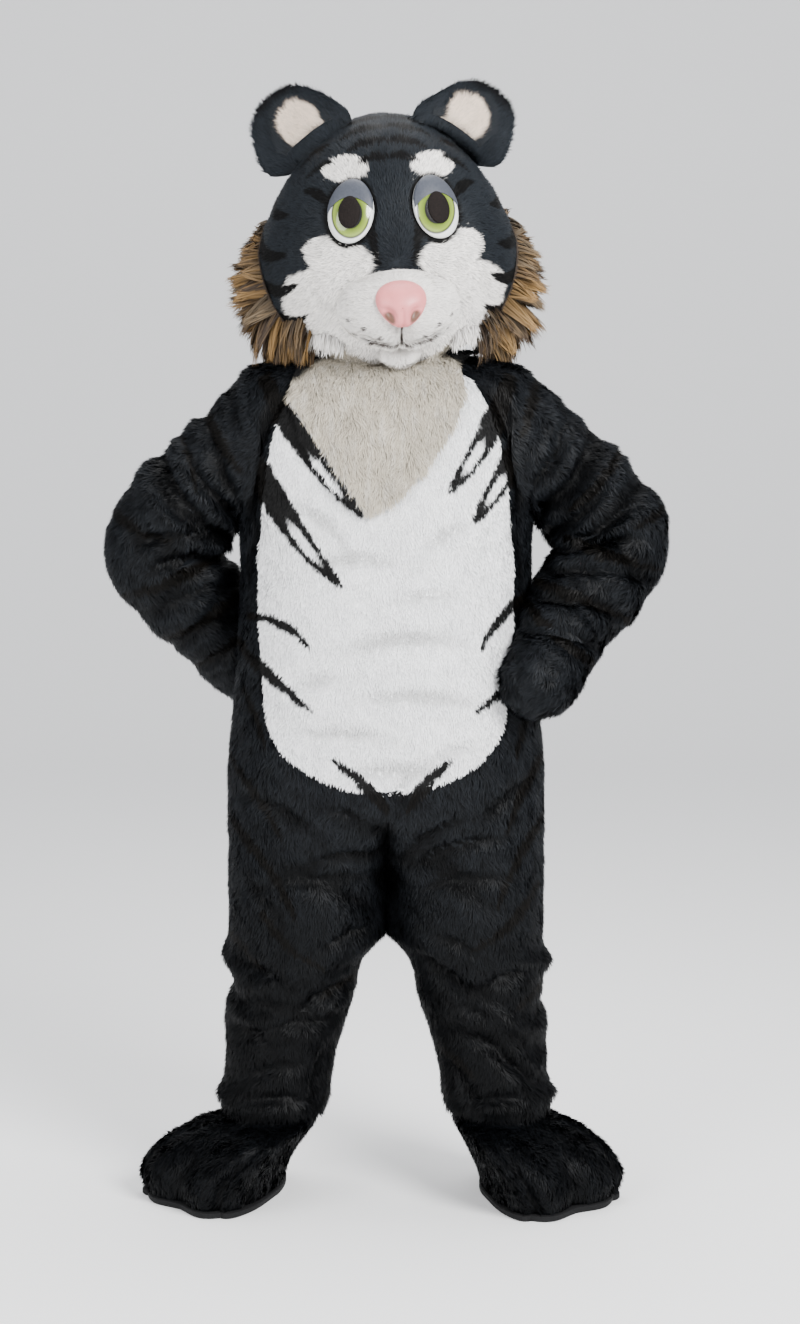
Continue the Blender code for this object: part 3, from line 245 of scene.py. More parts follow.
# The angle in degrees at which a piece's edge is sharp, and the share of the ground's normal in a blade's.
SHARP_ANGLE, SHAPE_NORMALS = 50, 0.58
# How far a crease bows, how it fades at the hem and the neck, and how a deep fold runs out at its ends.
CREASE_BOW, CREASE_FADE, LINE_END = 0.15, 0.02, 0.022
FLOOR_CLEARANCE = 0.0006
LOCK_ARCH = 0.10
LOOK_SHARE = 0.4
ARM_CREASE_SCALE, CAP_FOLD_FADE = 1.45, 0.6
# The creases' depth, and the depth at which their painted shade is full, on the dark panels and on the
# belly.
CreaseStyle = namedtuple("CreaseStyle", "scale shade")
DARK_CREASES, BELLY_CREASES = CreaseStyle(2.7, 0.008), CreaseStyle(2.2, 0.008)
LOOP_START, LOOP_END, LOOP_FADE = 0.48, 0.88, 0.12
RUFF_CORE, RUFF_LOCK_COUNT = 0.35, 96
LOCK_REACH, LOCK_FALL = 0.80, 0.25
# The lowest locks hang down to the shoulders.
LOW_LOCK_FALL, LOW_LOCK_HEIGHT, LOW_LOCK_SPAN = 1.2, 1.60, 0.10
RIM_LOCK_FALL, RIM_LOCK_HEIGHT, RIM_LOCK_SPAN, RIM_LOCK_STRETCH = 5.0, 1.550, 0.035, 0.25
# Locks rooted on the head's rim beside the neck: tan ones below the ruffs and white ones on the jaw.
# Each kind lies between two azimuths and two rises above the opening.
RimLocks = namedtuple("RimLocks", "azimuths rises reach blades")
RIM_TAN = RimLocks((56, 122), (15, 2.5), 0.062, 640)
RIM_WHITE = RimLocks((38, 70), (6, 0.5), 0.024, 420)
SLEEVE_TUCK = 0.010

# Creases of the suit, seen from the front or from behind: middle, half length, half width and depth.
Crease = namedtuple("Crease", "x height length width depth slant")
FRONT, BACK, BOTH = -1, 1, 0
SUIT_CREASES = {
    FRONT: in_metres(Crease, "slant", (
        # the belly
        (-60, 1128, 85, 12, -3, 2), (30, 995, 110, 13, -3.4, 3), (60, 896, 120, 12, -3.2, -4),
        (-70, 834, 80, 12, -3, -3), (66, 1066, 70, 11, -2.6, 8), (-110, 1190, 60, 12, -3, -38),
        (100, 1170, 55, 12, -2.6, 30), (-120, 920, 50, 10, -2.4, 14), (10, 770, 90, 12, -3.2, 1),
        (110, 800, 50, 10, -2.6, 18), (-20, 1040, 60, 14, 2.6, -5), (40, 945, 90, 15, 2.6, 4),
        # the flanks and the front of the shoulders
        (-235, 1290, 75, 12, -7, 80), (232, 1300, 80, 12, -7, -80), (-200, 1385, 40, 12, -5, 62),
        (205, 1390, 40, 12, -5, -58), (240, 1110, 60, 10, -4, -84), (-242, 1120, 60, 10, -4, 84),
        # the seat's front and the thighs
        (-66, 618, 90, 8, -5.5, 4), (76, 658, 58, 7, -7.5, 36), (118, 637, 80, 8, -6, 18),
        (0, 600, 110, 10, -10, 90), (-55, 690, 50, 9, -5, -30), (-120, 583, 110, 10, -3.5, 3),
        (145, 583, 90, 10, -3.5, 5), (-180, 700, 70, 12, -3.5, -25), (200, 715, 60, 12, -3.5, 40),
        (-190, 520, 60, 12, -4, -52),
        # the knees and the shins
        (-64, 480, 55, 8, -6, 18), (-104, 372, 48, 9, -8, 27), (-211, 415, 52, 9, -7, -25),
        (-105, 350, 45, 8, 5, 12), (-150, 325, 85, 8, -7, 4), (-115, 222, 50, 9, -6, 78),
        (-200, 245, 60, 9, -5, 14), (-230, 300, 50, 9, -5, -30), (-180, 195, 70, 7, -6, -3),
        (110, 402, 52, 8, -8, -43), (212, 407, 55, 9, -7, 14), (195, 275, 62, 8, -7, -33),
        (234, 240, 50, 8, -6, -34), (150, 345, 60, 9, -6, -20), (140, 210, 50, 8, -5.5, -60),
        (190, 196, 70, 7, -6, 4), (120, 470, 50, 9, -5, -24),
    )),
    BACK: in_metres(Crease, "slant", (
        # between the shoulders, the waist, the seat and the backs of the knees
        (0, 1270, 120, 14, -5, 4), (-110, 1200, 70, 12, -5, 34), (120, 1190, 75, 12, -5, -30),
        (-60, 1060, 110, 13, -4.5, -6), (80, 990, 100, 13, -4.5, 8), (-100, 900, 90, 13, -4.5, -14),
        (110, 860, 90, 13, -4.5, 18), (0, 560, 150, 12, -9, 90), (-80, 500, 70, 9, -7, 22),
        (85, 505, 70, 9, -7, -20), (-130, 600, 90, 12, -4, 12), (140, 610, 90, 12, -4, -16),
        (-170, 385, 80, 9, -8, -8), (-160, 350, 70, 9, -7, 14), (172, 395, 80, 9, -8, 10),
        (160, 345, 70, 9, -7, -12), (-190, 230, 60, 8, -5.5, -16), (195, 225, 60, 8, -5.5, 18),
    )),
}

# Smaller folds of the sleeves, between the largest ones.
FINE_SLEEVE_FOLDS = {
    RIGHT: in_metres(SleeveFold, "along around length width slant", (
        (1.1, 95, 60, 0.24, -6, 12), (2.1, 100, 60, 0.22, -7, 10), (3, 110, 55, 0.2, -6, 8),
        (3.7, 120, 60, 0.2, -7, 6), (4.8, 130, 45, 0.2, -7, 2), (6, 130, 50, 0.2, -6, -4),
        (7.1, 70, 80, 0.22, -6, -8), (8.6, 60, 90, 0.2, -6, -4), (9.3, 80, 90, 0.2, -5, 2),
        (3.4, 260, 60, 0.22, -6, -6), (6.6, 250, 70, 0.22, -6, 4), (8.2, 270, 60, 0.22, -5, 4),
    )),
    LEFT: in_metres(SleeveFold, "along around length width slant", (
        (1.2, 90, 60, 0.24, -6, 12), (2.2, 100, 60, 0.22, -7, 10), (3, 105, 55, 0.2, -6, 8),
        (4, 110, 60, 0.22, -7, 5), (4.9, 130, 45, 0.2, -7, 2), (5.9, 120, 50, 0.2, -6, -4),
        (7, 90, 80, 0.22, -6, -8), (8.4, 80, 90, 0.2, -6, -4), (9.2, 70, 90, 0.2, -5, 2),
        (3.6, 265, 60, 0.22, -6, -6), (6.5, 255, 70, 0.22, -6, 4), (8, 270, 60, 0.22, -5, 4),
    )),
}

# Deep folds of the sleeves that run from the outside of the arm to the armpit and the elbow, by their
# two ends seen from the front, with those behind like them.
LineCrease = namedtuple("LineCrease", "x0 height0 x1 height1 width depth bend")
ARM_CREASES = {
    FRONT: in_metres(LineCrease, "", (
        (-268, 1425, -232, 1320, 10, -11, -6), (-312, 1380, -246, 1222, 10.5, -15, -12),
        (-352, 1334, -250, 1192, 10.5, -16, -14), (-390, 1296, -262, 1150, 11, -15, -14),
        (-392, 1250, -318, 1180, 8, -11, -12), (-318, 1192, -330, 1142, 8, -9, -6),
        (-425, 1150, -285, 1158, 9.5, -14, 10), (-470, 1190, -400, 1160, 9, -8, -6),
        (-440, 1095, -270, 1118, 9.5, -12, 12), (-400, 1030, -262, 1075, 10, -10, 10),
        (-360, 975, -240, 1020, 9.5, -10, 10), (-330, 925, -225, 965, 9, -8, 8),
        (262, 1425, 236, 1330, 10, -10, 6), (318, 1385, 250, 1255, 10.5, -15, 12),
        (360, 1345, 262, 1205, 11, -16, 14), (402, 1300, 285, 1165, 11, -15, 14),
        (436, 1245, 340, 1158, 9, -12, 12), (448, 1160, 300, 1140, 9.5, -14, -10),
        (480, 1205, 420, 1170, 9, -8, 6), (450, 1090, 292, 1105, 9.5, -12, -12),
        (410, 1030, 268, 1062, 10, -11, -10), (372, 975, 252, 1010, 9.5, -9, -8),
    )),
    BACK: in_metres(LineCrease, "", (
        (-320, 1375, -262, 1230, 10.5, -14, -10), (-370, 1325, -280, 1185, 10.5, -14, -12),
        (-440, 1240, -320, 1150, 10, -12, -12), (-460, 1130, -320, 1120, 10, -12, 10),
        (-400, 1050, -290, 1080, 10, -10, 10), (318, 1380, 262, 1240, 10.5, -14, 10),
        (380, 1325, 282, 1190, 10.5, -14, 12), (445, 1240, 330, 1160, 10, -12, 12),
        (465, 1120, 320, 1115, 10, -12, -10), (410, 1045, 290, 1075, 10, -10, -10),
    )),
}

# Stripes, seen from the front or from behind, from the wide end to the pointed one. bend is how far
# the middle bows to the left of that direction, and hollow is the share of the width that is left pale.
Stripe = namedtuple("Stripe", "x0 height0 x1 height1 width bend hollow")
BODY_STRIPES = {
    FRONT: in_metres(Stripe, "hollow", (
        (-212, 1440, -37, 1196, 24, -12, 0.4), (-238, 1330, -73, 1078, 26.5, -18, 0.42),
        (-238, 1026, -128, 974, 10, 14, 0), (-262, 985, -120, 865, 12.5, -4, 0),
        (4, 700, -95, 788, 12, -6, 0), (214, 1440, 106, 1236, 24, 12, 0.42),
        (246, 1370, 148, 1186, 25, 10, 0.4), (262, 1075, 158, 966, 11, -12, 0),
        (262, 960, 150, 864, 11.5, 6, 0), (34, 700, 114, 785, 12, 6, 0),
        (-282, 790, -175, 645, 8.5, 8, 0), (-290, 690, -147, 492, 10.5, 16, 0),
        (-215, 520, -105, 421, 9, -10, 0), (-288, 480, -205, 412, 8, 4, 0),
        (-40, 398, -115, 362, 10, -4, 0), (284, 800, 205, 655, 9.5, -8, 0),
        (284, 690, 188, 522, 10.5, -10, 0), (262, 562, 146, 455, 10, 12, 0),
        (92, 272, 158, 226, 7.5, 4, 0), (290, 402, 222, 348, 8, 4, 0), (-245, 900, -205, 800, 8, 6, 0),
        (255, 880, 222, 780, 8, -6, 0),
    )),
    BACK: in_metres(Stripe, "hollow", (
        (-215, 1390, -50, 1300, 15, 16, 0), (215, 1370, 40, 1290, 15, -16, 0),
        (-245, 1230, -45, 1150, 16, 16, 0), (245, 1240, 60, 1140, 16, -18, 0),
        (-250, 1080, -60, 1020, 14, 14, 0), (250, 1070, 50, 1000, 15, -14, 0),
        (-255, 930, -55, 880, 15, 12, 0), (255, 920, 65, 860, 14, -14, 0),
        (-270, 790, -80, 730, 14, 10, 0), (270, 780, 80, 710, 14, -10, 0),
        (-275, 640, -120, 560, 12, 10, 0), (275, 650, 110, 570, 12, -10, 0),
        (-275, 480, -150, 430, 10, 8, 0), (275, 500, 140, 440, 10, -8, 0),
        (-270, 320, -170, 280, 9, 6, 0), (270, 330, 170, 290, 9, -6, 0),
    )),
}
# Stripes of the sleeves go round the arm, so they show from both sides.
ARM_STRIPES = {
    BOTH: in_metres(Stripe, "hollow", (
        (-320, 1400, -246, 1272, 11, -6, 0), (-500, 1226, -362, 1150, 10.5, -14, 0),
        (-285, 1130, -480, 1052, 11.5, 10, 0), (-228, 1100, -420, 972, 11.5, 22, 0),
        (-215, 1015, -360, 915, 11, 6, 0), (-360, 1345, -330, 1235, 7, 4, 0),
        (262, 1440, 228, 1330, 12, 4, 0), (415, 1318, 312, 1205, 11, 10, 0),
        (312, 1160, 480, 1105, 11.5, -8, 0), (262, 1082, 450, 1000, 11.5, 6, 0),
        (234, 1062, 372, 936, 11.5, -12, 0), (490, 1215, 425, 1178, 8, 4, 0),
        (290, 880, 350, 935, 7, 4, 0),
    )),
}

# The head's markings in degrees: a stripe's two ends, half width and bend, for the wearer's left side.
FaceStripe = namedtuple("FaceStripe", "azimuth0 elevation0 azimuth1 elevation1 width bend")
FACE_STRIPES = [FaceStripe(*row) for row in (
    (0, 37, 17, 34, 2.2, 1.5), (0, 47, 25, 42, 2.6, 2.5), (0, 58, 36, 51, 3, 3.5),
    (0, 70, 52, 60, 3.4, 4), (33, 38, 50, 30, 1.9, 2), (44, 50, 66, 38, 2.4, 3),
    (31, 17, 49, 25, 2.2, 1.6), (10, 8, 7.5, -13, 1.7, 0.8), (84, 24, 55, 14, 2.4, 3),
    (88, 8, 54, -3, 2.8, 4), (88, -9, 50, -16, 2.8, 4.5), (84, -25, 52, -30, 2.5, 4),
    (76, -39, 52, -43, 2, 3), (110, 62, 172, 56, 3, 3), (104, 42, 168, 34, 3.2, 5),
    (112, 20, 170, 12, 3.2, 5), (118, -2, 168, -10, 3, 4), (120, -22, 170, -28, 2.6, 3),
)]
# The pale patches: middle and half sizes in degrees, and how the oval leans.
Patch = namedtuple("Patch", "azimuth elevation across up lean")
PALE_PATCHES = [Patch(*row) for row in (
    (25, 33, 12, 7, 14), (27, -7, 17, 9, 16), (40, -30, 27, 19, 8), (0, -52, 45, 19, 0),
)]
FACE_STRIPE_SCALE = 1.3
# Painted shade: the trousers are painted darker towards the ankles, where less light reaches them.
SHIN_TOP, SHIN_FADE, SHIN_SHADE = 0.70, 0.40, 0.90
# The dark rim round each eye: how far it reaches past the eye's own half sizes.
EYE_RIM = 1.16
MOUTH_ELEVATION, MOUTH_RISE, MOUTH_HALF_WIDTH = -41.5, 0.075, 19
WHISKER_DOTS = ((9, -34.5), (15, -31.0), (21, -35.0), (14, -38.5), (21.5, -29.0))

# Colours as the fur has them, before the painted shade down between its tips and the painted light on them.
CHARCOAL = (0.0046, 0.0053, 0.0064)
STRIPE_BLACK = (0.0008, 0.0007, 0.0007)
STRIPE_BROWN = (0.0014, 0.0011, 0.0008)
# Painted shade: the colours that the fur is mixed towards down in its folds and, on the trousers, towards
# the ankles.
PAINTED_SHADE_BLACK = (0.0008, 0.0009, 0.0011)
PAINTED_SHADE_GREY = (0.54, 0.54, 0.535)
BELLY_WHITE = (0.93, 0.935, 0.94)
BIB_CREAM = (0.44, 0.395, 0.315)
FACE_WHITE = (0.86, 0.83, 0.79)
SLATE = (0.0106, 0.0131, 0.0164)
EAR_BEIGE = (0.70, 0.58, 0.47)
RUFF_TAN = (0.300, 0.176, 0.065)
RUFF_GREY = (0.132, 0.099, 0.064)
RUFF_BROWN = (0.060, 0.042, 0.030)
# The feet are darker than the trousers: partly their own colour, partly painted shade near the floor.
FOOT_BLACK = (0.0013, 0.0016, 0.0021)
NOSE_PINK = (0.66, 0.20, 0.20)
NOSTRIL_BROWN = (0.10, 0.040, 0.022)
LIP_BROWN = (0.030, 0.020, 0.016)
# The eye's rings of colour, by where they start on the way out from its middle.
EYE_RINGS = (
    (0.00, (0.004, 0.003, 0.003)), (0.40, (0.004, 0.003, 0.003)), (0.44, (0.10, 0.15, 0.012)),
    (0.60, (0.20, 0.28, 0.03)), (0.66, (0.008, 0.007, 0.005)), (0.70, (0.74, 0.75, 0.73)),
    (0.90, (0.60, 0.61, 0.60)),
)


def smoothstep(t):
    t = np.clip(t, 0.0, 1.0)
    return t * t * (3 - 2 * t)


def unit(vectors):
    return vectors / np.linalg.norm(vectors, axis=-1, keepdims=True)


def signed_power(value, power):
    return np.sign(value) * np.abs(value) ** power


def columns_at(rows, key):
    """The columns of a table after its first, on smooth curves through its rows, at the values key."""
    table = np.array(rows, float)
    if table[0, 0] > table[-1, 0]:
        table = table[::-1]
    knots, values = table[:, 0], table[:, 1:]
    steps = np.diff(values, axis=0) / np.diff(knots)[:, None]
    product, total = steps[:-1] * steps[1:], steps[:-1] + steps[1:]
    even = np.where(product > 0, 2 * product / np.where(total == 0, 1, total), 0)
    slopes = np.concatenate([steps[:1], even, steps[-1:]])
    key = np.asarray(key, float)
    i = np.clip(np.searchsorted(knots, key, side="right") - 1, 0, len(knots) - 2)
    span = (knots[i + 1] - knots[i])[..., None]
    t = (key - knots[i])[..., None] / span
    start, end = values[i], values[i + 1]
    start_slope, end_slope = slopes[i] * span, slopes[i + 1] * span
    bend = 3 * (end - start) - 2 * start_slope - end_slope
    twist = 2 * (start - end) + start_slope + end_slope
    result = start + t * (start_slope + t * (bend + t * twist))
    return np.moveaxis(result, -1, 0)


def ridge(along, across, length, width):
    return np.exp(-((along / length) ** 2) - (across / width) ** 2)


def normals_of(surface, u, v):
    """Unit normals of a surface of two parameters."""
    along_u = surface(u + STEP, v) - surface(u - STEP, v)
    along_v = surface(u, v + STEP) - surface(u, v - STEP)
    return unit(np.cross(along_u, along_v))


def slanted(right, up, degrees):
    """Steps along and across a slanting line, for steps to the right and up."""
    slant = math.radians(degrees)
    return right * math.cos(slant) + up * math.sin(slant), up * math.cos(slant) - right * math.sin(slant)


def torso_point(u, level):
    rise, half_width, front, back = columns_at(SUIT_SECTIONS, level)
    angle = u * math.pi / 2
    across = signed_power(np.sin(angle), SECTION_POWER)
    ahead = signed_power(np.cos(angle), SECTION_POWER)
    depth = np.where(ahead > 0, front, back)
    height = level + rise * np.sin(angle) ** 2
    return np.stack([half_width * across, -depth * ahead, height], axis=-1)


def leg_point(u, level):
    centre_x, half_width, centre_y, front, back = columns_at(LEG_SECTIONS, level)
    angle = (u - 0.5) * math.pi
    ahead = np.cos(angle)
    depth = np.where(ahead > 0, front, back)
    x = centre_x + half_width * np.sin(angle)
    return np.stack([x, centre_y - depth * ahead, level + 0 * u], axis=-1)


def suit_form(u, level):
    """The left half of the suit, without folds."""
    share = smoothstep((HIP_LEVEL - level) / (HIP_LEVEL - CROTCH_LEVEL))[..., None]
    torso = torso_point(u, np.maximum(level, CROTCH_LEVEL))
    torso[..., 2] = torso[..., 2] + np.minimum(level - CROTCH_LEVEL, 0)
    return torso * (1 - share) + leg_point(u, np.minimum(level, HIP_LEVEL)) * share


def suit_folds(u, level, side):
    """How far the largest folds move places of the suit out."""
    total = np.zeros(np.broadcast(u, level).shape)
    for fold in SUIT_FOLDS[side]:
        along, across = slanted((u - fold.u) * U_SPAN, level - fold.level, fold.slant)
        total += fold.depth * ridge(along, across, fold.length, fold.width)
    seams = smoothstep(u / FOLD_SEAM_FADE) * smoothstep((2 - u) / FOLD_SEAM_FADE)
    return total * seams * smoothstep((level - HEM_LEVEL) / FOLD_HEM_FADE)


def folded_suit(u, level, side):
    """Points on the suit's outside with its largest folds, the normals there, and the folds."""
    folds, normals = suit_folds(u, level, side), normals_of(suit_form, u, level)
    points = suit_form(u, level) + normals * folds[..., None]
    return points * MIRROR[side], normals * MIRROR[side], folds


def belly_u(level, extra=0.0):
    """u at the belly panel's edge, moved extra metres towards the side."""
    turn = np.clip((BELLY_TURN_LEVEL - level) / (BELLY_TURN_LEVEL - BELLY_BOTTOM), 0, 0.9999)
    width = columns_at(BELLY_EDGES, np.maximum(level, BELLY_TURN_LEVEL))[0]
    width = width * np.sqrt(1 - turn**2)
    half_width = columns_at(SUIT_SECTIONS, level)[1]
    share = np.clip((width + extra) / half_width, 0, 1)
    return np.arcsin(share ** (1 / SECTION_POWER)) / (math.pi / 2)


def gap_u(level, gap):
    """A gap in metres as a step of u, on the torso or on a leg."""
    half_width = np.where(level > HIP_LEVEL, columns_at(SUIT_SECTIONS, level)[1], 0.15)
    return gap / half_width / (math.pi / 2)


def armhole_cut(levels):
    """How far the armhole's edge stands in from the side, in u, at each level."""
    return ARMHOLE_DEPTH * np.sqrt(np.clip(1 - ((levels - ARMHOLE_MIDDLE) / ARMHOLE_HALF) ** 2, 0, 1))


def between(start, end, count):
    """A row of values from start to end for each entry, as a grid."""
    share = np.linspace(0, 1, count + 1)
    return np.asarray(start)[:, None] * (1 - share) + np.asarray(end)[:, None] * share


def arm_frames(side, stations):
    """Centre, radius and cross-section axes (outer side, front) of the arm at fractional stations."""
    rows = [(i, *station) for i, station in enumerate(ARM_STATIONS[side])]
    x, y, z, radius = columns_at(rows, stations)
    centre = np.stack([x * side, y, z], axis=-1)
    ahead, behind = (columns_at(rows, np.asarray(stations) + step) for step in (0.05, -0.05))
    along = unit(np.stack([(ahead[0] - behind[0]) * side, ahead[1] - behind[1], ahead[2] - behind[2]], -1))
    front = np.array([0.0, -1.0, 0.0]) - along * -along[..., 1:2]
    front = unit(front)
    outer = np.cross(along, front) * -side
    return centre, radius, along, outer, front


def keep_off_torso(points, clearance):
    """Moves points that would sink into the torso out to just clear of it."""
    level = points[..., 2]
    _, half_width, front, back = columns_at(SUIT_SECTIONS, level)
    half_width = half_width + clearance
    depth = np.where(points[..., 1] < 0, front, back) + clearance
    power = 2 / SECTION_POWER
    inside = (np.abs(points[..., 0]) / half_width) ** power + (np.abs(points[..., 1]) / depth) ** power
    scale = np.maximum(1, inside ** (-1 / power))
    scale = np.where(level < ARMHOLE_BOTTOM + 0.02, scale, 1)
    return points * np.stack([scale, scale, np.ones_like(scale)], axis=-1)


def fold_sum(folds, stations, turn, fade):
    """How far folds move places of a sleeve out, from where they fade in below the shoulder."""
    total = np.zeros(np.broadcast(stations, turn).shape)
    for fold in folds:
        around = (np.degrees(turn) - fold.around + 180) % 360 - 180
        lift = stations - fold.along - fold.slant / 1000 * around
        total += fold.depth * ridge(around, lift, fold.length, fold.width)
    return total * smoothstep((stations - SLEEVE_FOLD_START) / fade)


def sleeve_folds(side, stations, turn):
    """How far the largest folds move places of a sleeve out. They end above the cuff."""
    end = smoothstep((CUFF_STATION - 1 - stations) / SLEEVE_FOLD_FADE)
    return fold_sum(SLEEVE_FOLDS[side], stations, turn, SLEEVE_FOLD_FADE) * end


def arm_surface(side, stations, turn):
    """Points on an arm's outside, their centres, and the ways along the arm and out from it. turn runs
    from the outer side over the front and round."""
    centre, radius, along, outer, front = arm_frames(side, stations)
    radius = radius + sleeve_folds(side, stations, turn)
    reach = outer * np.cos(turn)[..., None] + front * np.sin(turn)[..., None]
    return keep_off_torso(centre + reach * radius[..., None], REST_GAP), centre, along, reach


def foot_frame(side):
    """Ankle point on the floor, and the foot's axes: towards the toes, and to the outer side."""
    centre_x, _, centre_y, _, _ = columns_at(LEG_SECTIONS, HEM_LEVEL)
    turn = math.radians(FOOT_TURN[side])
    toward = np.array([math.sin(turn) * side, -math.cos(turn), 0.0])
    outward = np.array([math.cos(turn) * side, math.sin(turn), 0.0])
    return np.array([centre_x * side, centre_y, 0.0]), toward, outward


def foot_ring(side, section, grow=0.0):
    """A foot's outline at one height. The toes bulge, and their line slants back to the outer side."""
    turn = foot_turns()
    ankle, toward, outward = foot_frame(side)
    ahead, across = np.cos(turn), np.sin(turn)
    reach = np.where(ahead > 0, section.front, section.back) + grow
    toe = np.abs(np.sin(turn / math.radians(TOE_ANGLE) * TOE_COUNT / 2 * math.pi))
    front = smoothstep((ahead - math.cos(math.radians(TOE_ANGLE))) / TOE_FADE)
    reach = reach + TOE_BULGE * toe * front
    width = (section.half_width + grow) * (1 + FOOT_FLARE * ahead) * signed_power(across, FOOT_WIDTH_POWER)
    length = section.centre + reach * signed_power(ahead, FOOT_LENGTH_POWER)
    length = length - TOE_SLANT * width * np.maximum(ahead, 0)
    width = width + FOOT_OUT[side] * section.out_share
    ring = ankle + length[:, None] * toward + width[:, None] * outward
    ring[:, 2] = section.height
    return ring


def leg_ring_point(side, level, direction):
    """The inside of the trouser leg at a level, in plan directions about the leg's centre."""
    u = np.linspace(0, 2, 721)
    points, normals, _ = folded_suit(u, np.full_like(u, level), side)
    ring = points - normals * FUR_WALL
    centre = foot_frame(side)[0]
    angles = np.arctan2(ring[:, 1] - centre[1], ring[:, 0] - centre[0])
    wanted = np.arctan2(direction[:, 1], direction[:, 0])
    nearest = np.abs((angles[None, :] - wanted[:, None] + math.pi) % (2 * math.pi) - math.pi).argmin(1)
    return ring[nearest]


def head_turn(points):
    """Turns points of the upright head about its centre to how it is worn."""
    yaw, roll = math.radians(HEAD_YAW), math.radians(HEAD_ROLL)
    around_z = np.array([
        [math.cos(yaw), -math.sin(yaw), 0],
        [math.sin(yaw), math.cos(yaw), 0],
        [0, 0, 1],
    ])
    around_y = np.array([
        [math.cos(roll), 0, math.sin(roll)],
        [0, 1, 0],
        [-math.sin(roll), 0, math.cos(roll)],
    ])
    return points @ (around_y @ around_z).T + HEAD_CENTRE


def head_form(azimuth, elevation):
    """The head's outside. Angles are in radians: azimuth from the front towards the wearer's left."""
    ahead = np.cos(azimuth)
    cheek = CHEEK_WIDTH * np.exp(-(((np.degrees(elevation) - CHEEK_ELEVATION) / CHEEK_SPREAD) ** 2))
    width = HEAD_HALF_WIDTH + cheek * np.sin(azimuth) ** 2
    width = width * (1 - HEAD_TAPER * np.maximum(np.sin(elevation), 0))
    depth = np.where(ahead > 0, HEAD_FRONT, HEAD_BACK)
    height = np.where(elevation > 0, HEAD_UP, HEAD_DOWN)
    ring = np.cos(elevation)
    points = [width * ring * np.sin(azimuth), -depth * ring * ahead, height * np.sin(elevation)]
    return head_turn(np.stack(points, axis=-1))


def profile(pad, share):
    """Height of a rounded pad above its rim, at shares of the way out to the rim."""
    return (pad.height - PAD_EDGE) * np.clip(1 - share**2, 0, 1) ** (pad.power / 2)


def opening_elevation(azimuth):
    share = smoothstep((np.cos(azimuth) - OPENING_TURN) / OPENING_TURN_SPAN)
    low, high = OPENING_ELEVATION_FRONT, OPENING_ELEVATION_BACK
    return np.radians(high + (low - high) * share)


def head_skin(azimuth, elevation):
    """Points on the head's outside and the normals there."""
    return head_form(azimuth, elevation), normals_of(head_form, azimuth, elevation)


def head_project(points):
    """The places on the head, just clear of it, that lie under points near it."""
    scaled = (points - HEAD_CENTRE) / np.array([HEAD_HALF_WIDTH, HEAD_FRONT, HEAD_UP])
    azimuth = np.arctan2(scaled[..., 0], -scaled[..., 1]) - math.radians(HEAD_YAW)
    elevation = np.arcsin(np.clip(scaled[..., 2] / np.linalg.norm(scaled, axis=-1), -1, 1))
    surface, normals = head_skin(azimuth, elevation)
    return surface + normals * PAD_GAP


def ear_grid(side, across, up):
    """The front of an ear: across runs from -1 to 1 outward, and up from 0 at the head to 1."""
    share = (across + 1) / 2
    azimuth = EAR_BASE_INNER[0] + (EAR_BASE_OUTER[0] - EAR_BASE_INNER[0]) * share
    elevation = EAR_BASE_INNER[1] + (EAR_BASE_OUTER[1] - EAR_BASE_INNER[1]) * share
    base = head_form(np.radians(azimuth) * side, np.radians(elevation))
    lean = unit(np.array(EAR_LEAN) * MIRROR[side])
    length = EAR_LENGTH * (1 - np.abs(across) ** EAR_SQUARENESS) ** (1 / EAR_SQUARENESS)
    outward = unit(np.array(EAR_OUTWARD) * MIRROR[side])
    widest = np.where(across < 0, EAR_INNER_SPREAD, EAR_OUTER_SPREAD)
    spread = widest * across * np.sin(up * math.pi * EAR_SPREAD_ARC)
    cup = EAR_CUP * (1 - across**2) * np.sin(up * math.pi / 2)
    return (
        base
        + lean * (length * up)[..., None]
        + outward * spread[..., None]
        + np.array([0, 1, 0]) * cup[..., None]
    )


def suit_out(azimuth, level, distance):
    """Points on the suit at azimuths about the neck, moved out by a distance."""
    u = np.abs(azimuth) / (math.pi / 2)
    side = np.where(azimuth < 0, RIGHT, LEFT)
    points = suit_form(u, level) + normals_of(suit_form, u, level) * distance
    return points * np.stack([side, np.ones_like(side), np.ones_like(side)], axis=-1)


def bib_ends(azimuth):
    share = smoothstep(np.abs(azimuth - BIB_TIP_AZIMUTH) / BIB_V_HALF_ANGLE) ** BIB_V_POWER
    return BIB_TIP_LEVEL + (BIB_SIDE_LEVEL - BIB_TIP_LEVEL) * share


def collar_ends(azimuth):
    share = smoothstep((180 - np.abs(azimuth)) / COLLAR_HALF_ANGLE) ** COLLAR_POWER
    return COLLAR_LEVEL + (BIB_SIDE_LEVEL - COLLAR_LEVEL) * share


# valley is painted shade, from 0 to 1: how dark the fur is painted down in folds.
Grid = namedtuple("Grid", "points normals nap meets_middle valley", defaults=(False, None))


def stand(points):
    """Points above the floor, in the frame."""
    return points - np.array([0, 0, HOLD_HEIGHT])


def ripple(points, size, seed, waves=10):
    """A smooth uneven number about 0 for each point, mostly within 1, with bumps about size apart."""
    rng = np.random.default_rng(seed)
    pull = unit(rng.normal(size=(waves, 3))) * (2 * math.pi / size)
    pull *= rng.uniform(0.45, 1.3, (waves, 1))
    phase = rng.uniform(0, 2 * math.pi, waves)
    return np.sin(np.asarray(points) @ pull.T + phase).sum(axis=-1) / math.sqrt(2 * waves)


def creases(rows, points):
    """How far the creases of a table move points of the suit, seen from the front or from behind."""
    total = np.zeros(points.shape[:-1])
    for face, faced in rows.items():
        shown = smoothstep((points[..., 1] * face + 0.02) / 0.05)
        for crease in faced:
            along, across = slanted(points[..., 0] - crease.x, points[..., 2] - crease.height, crease.slant)
            across = across + CREASE_BOW * along**2 / crease.length
            total += crease.depth * ridge(along, across, crease.length, crease.width) * shown
    return total


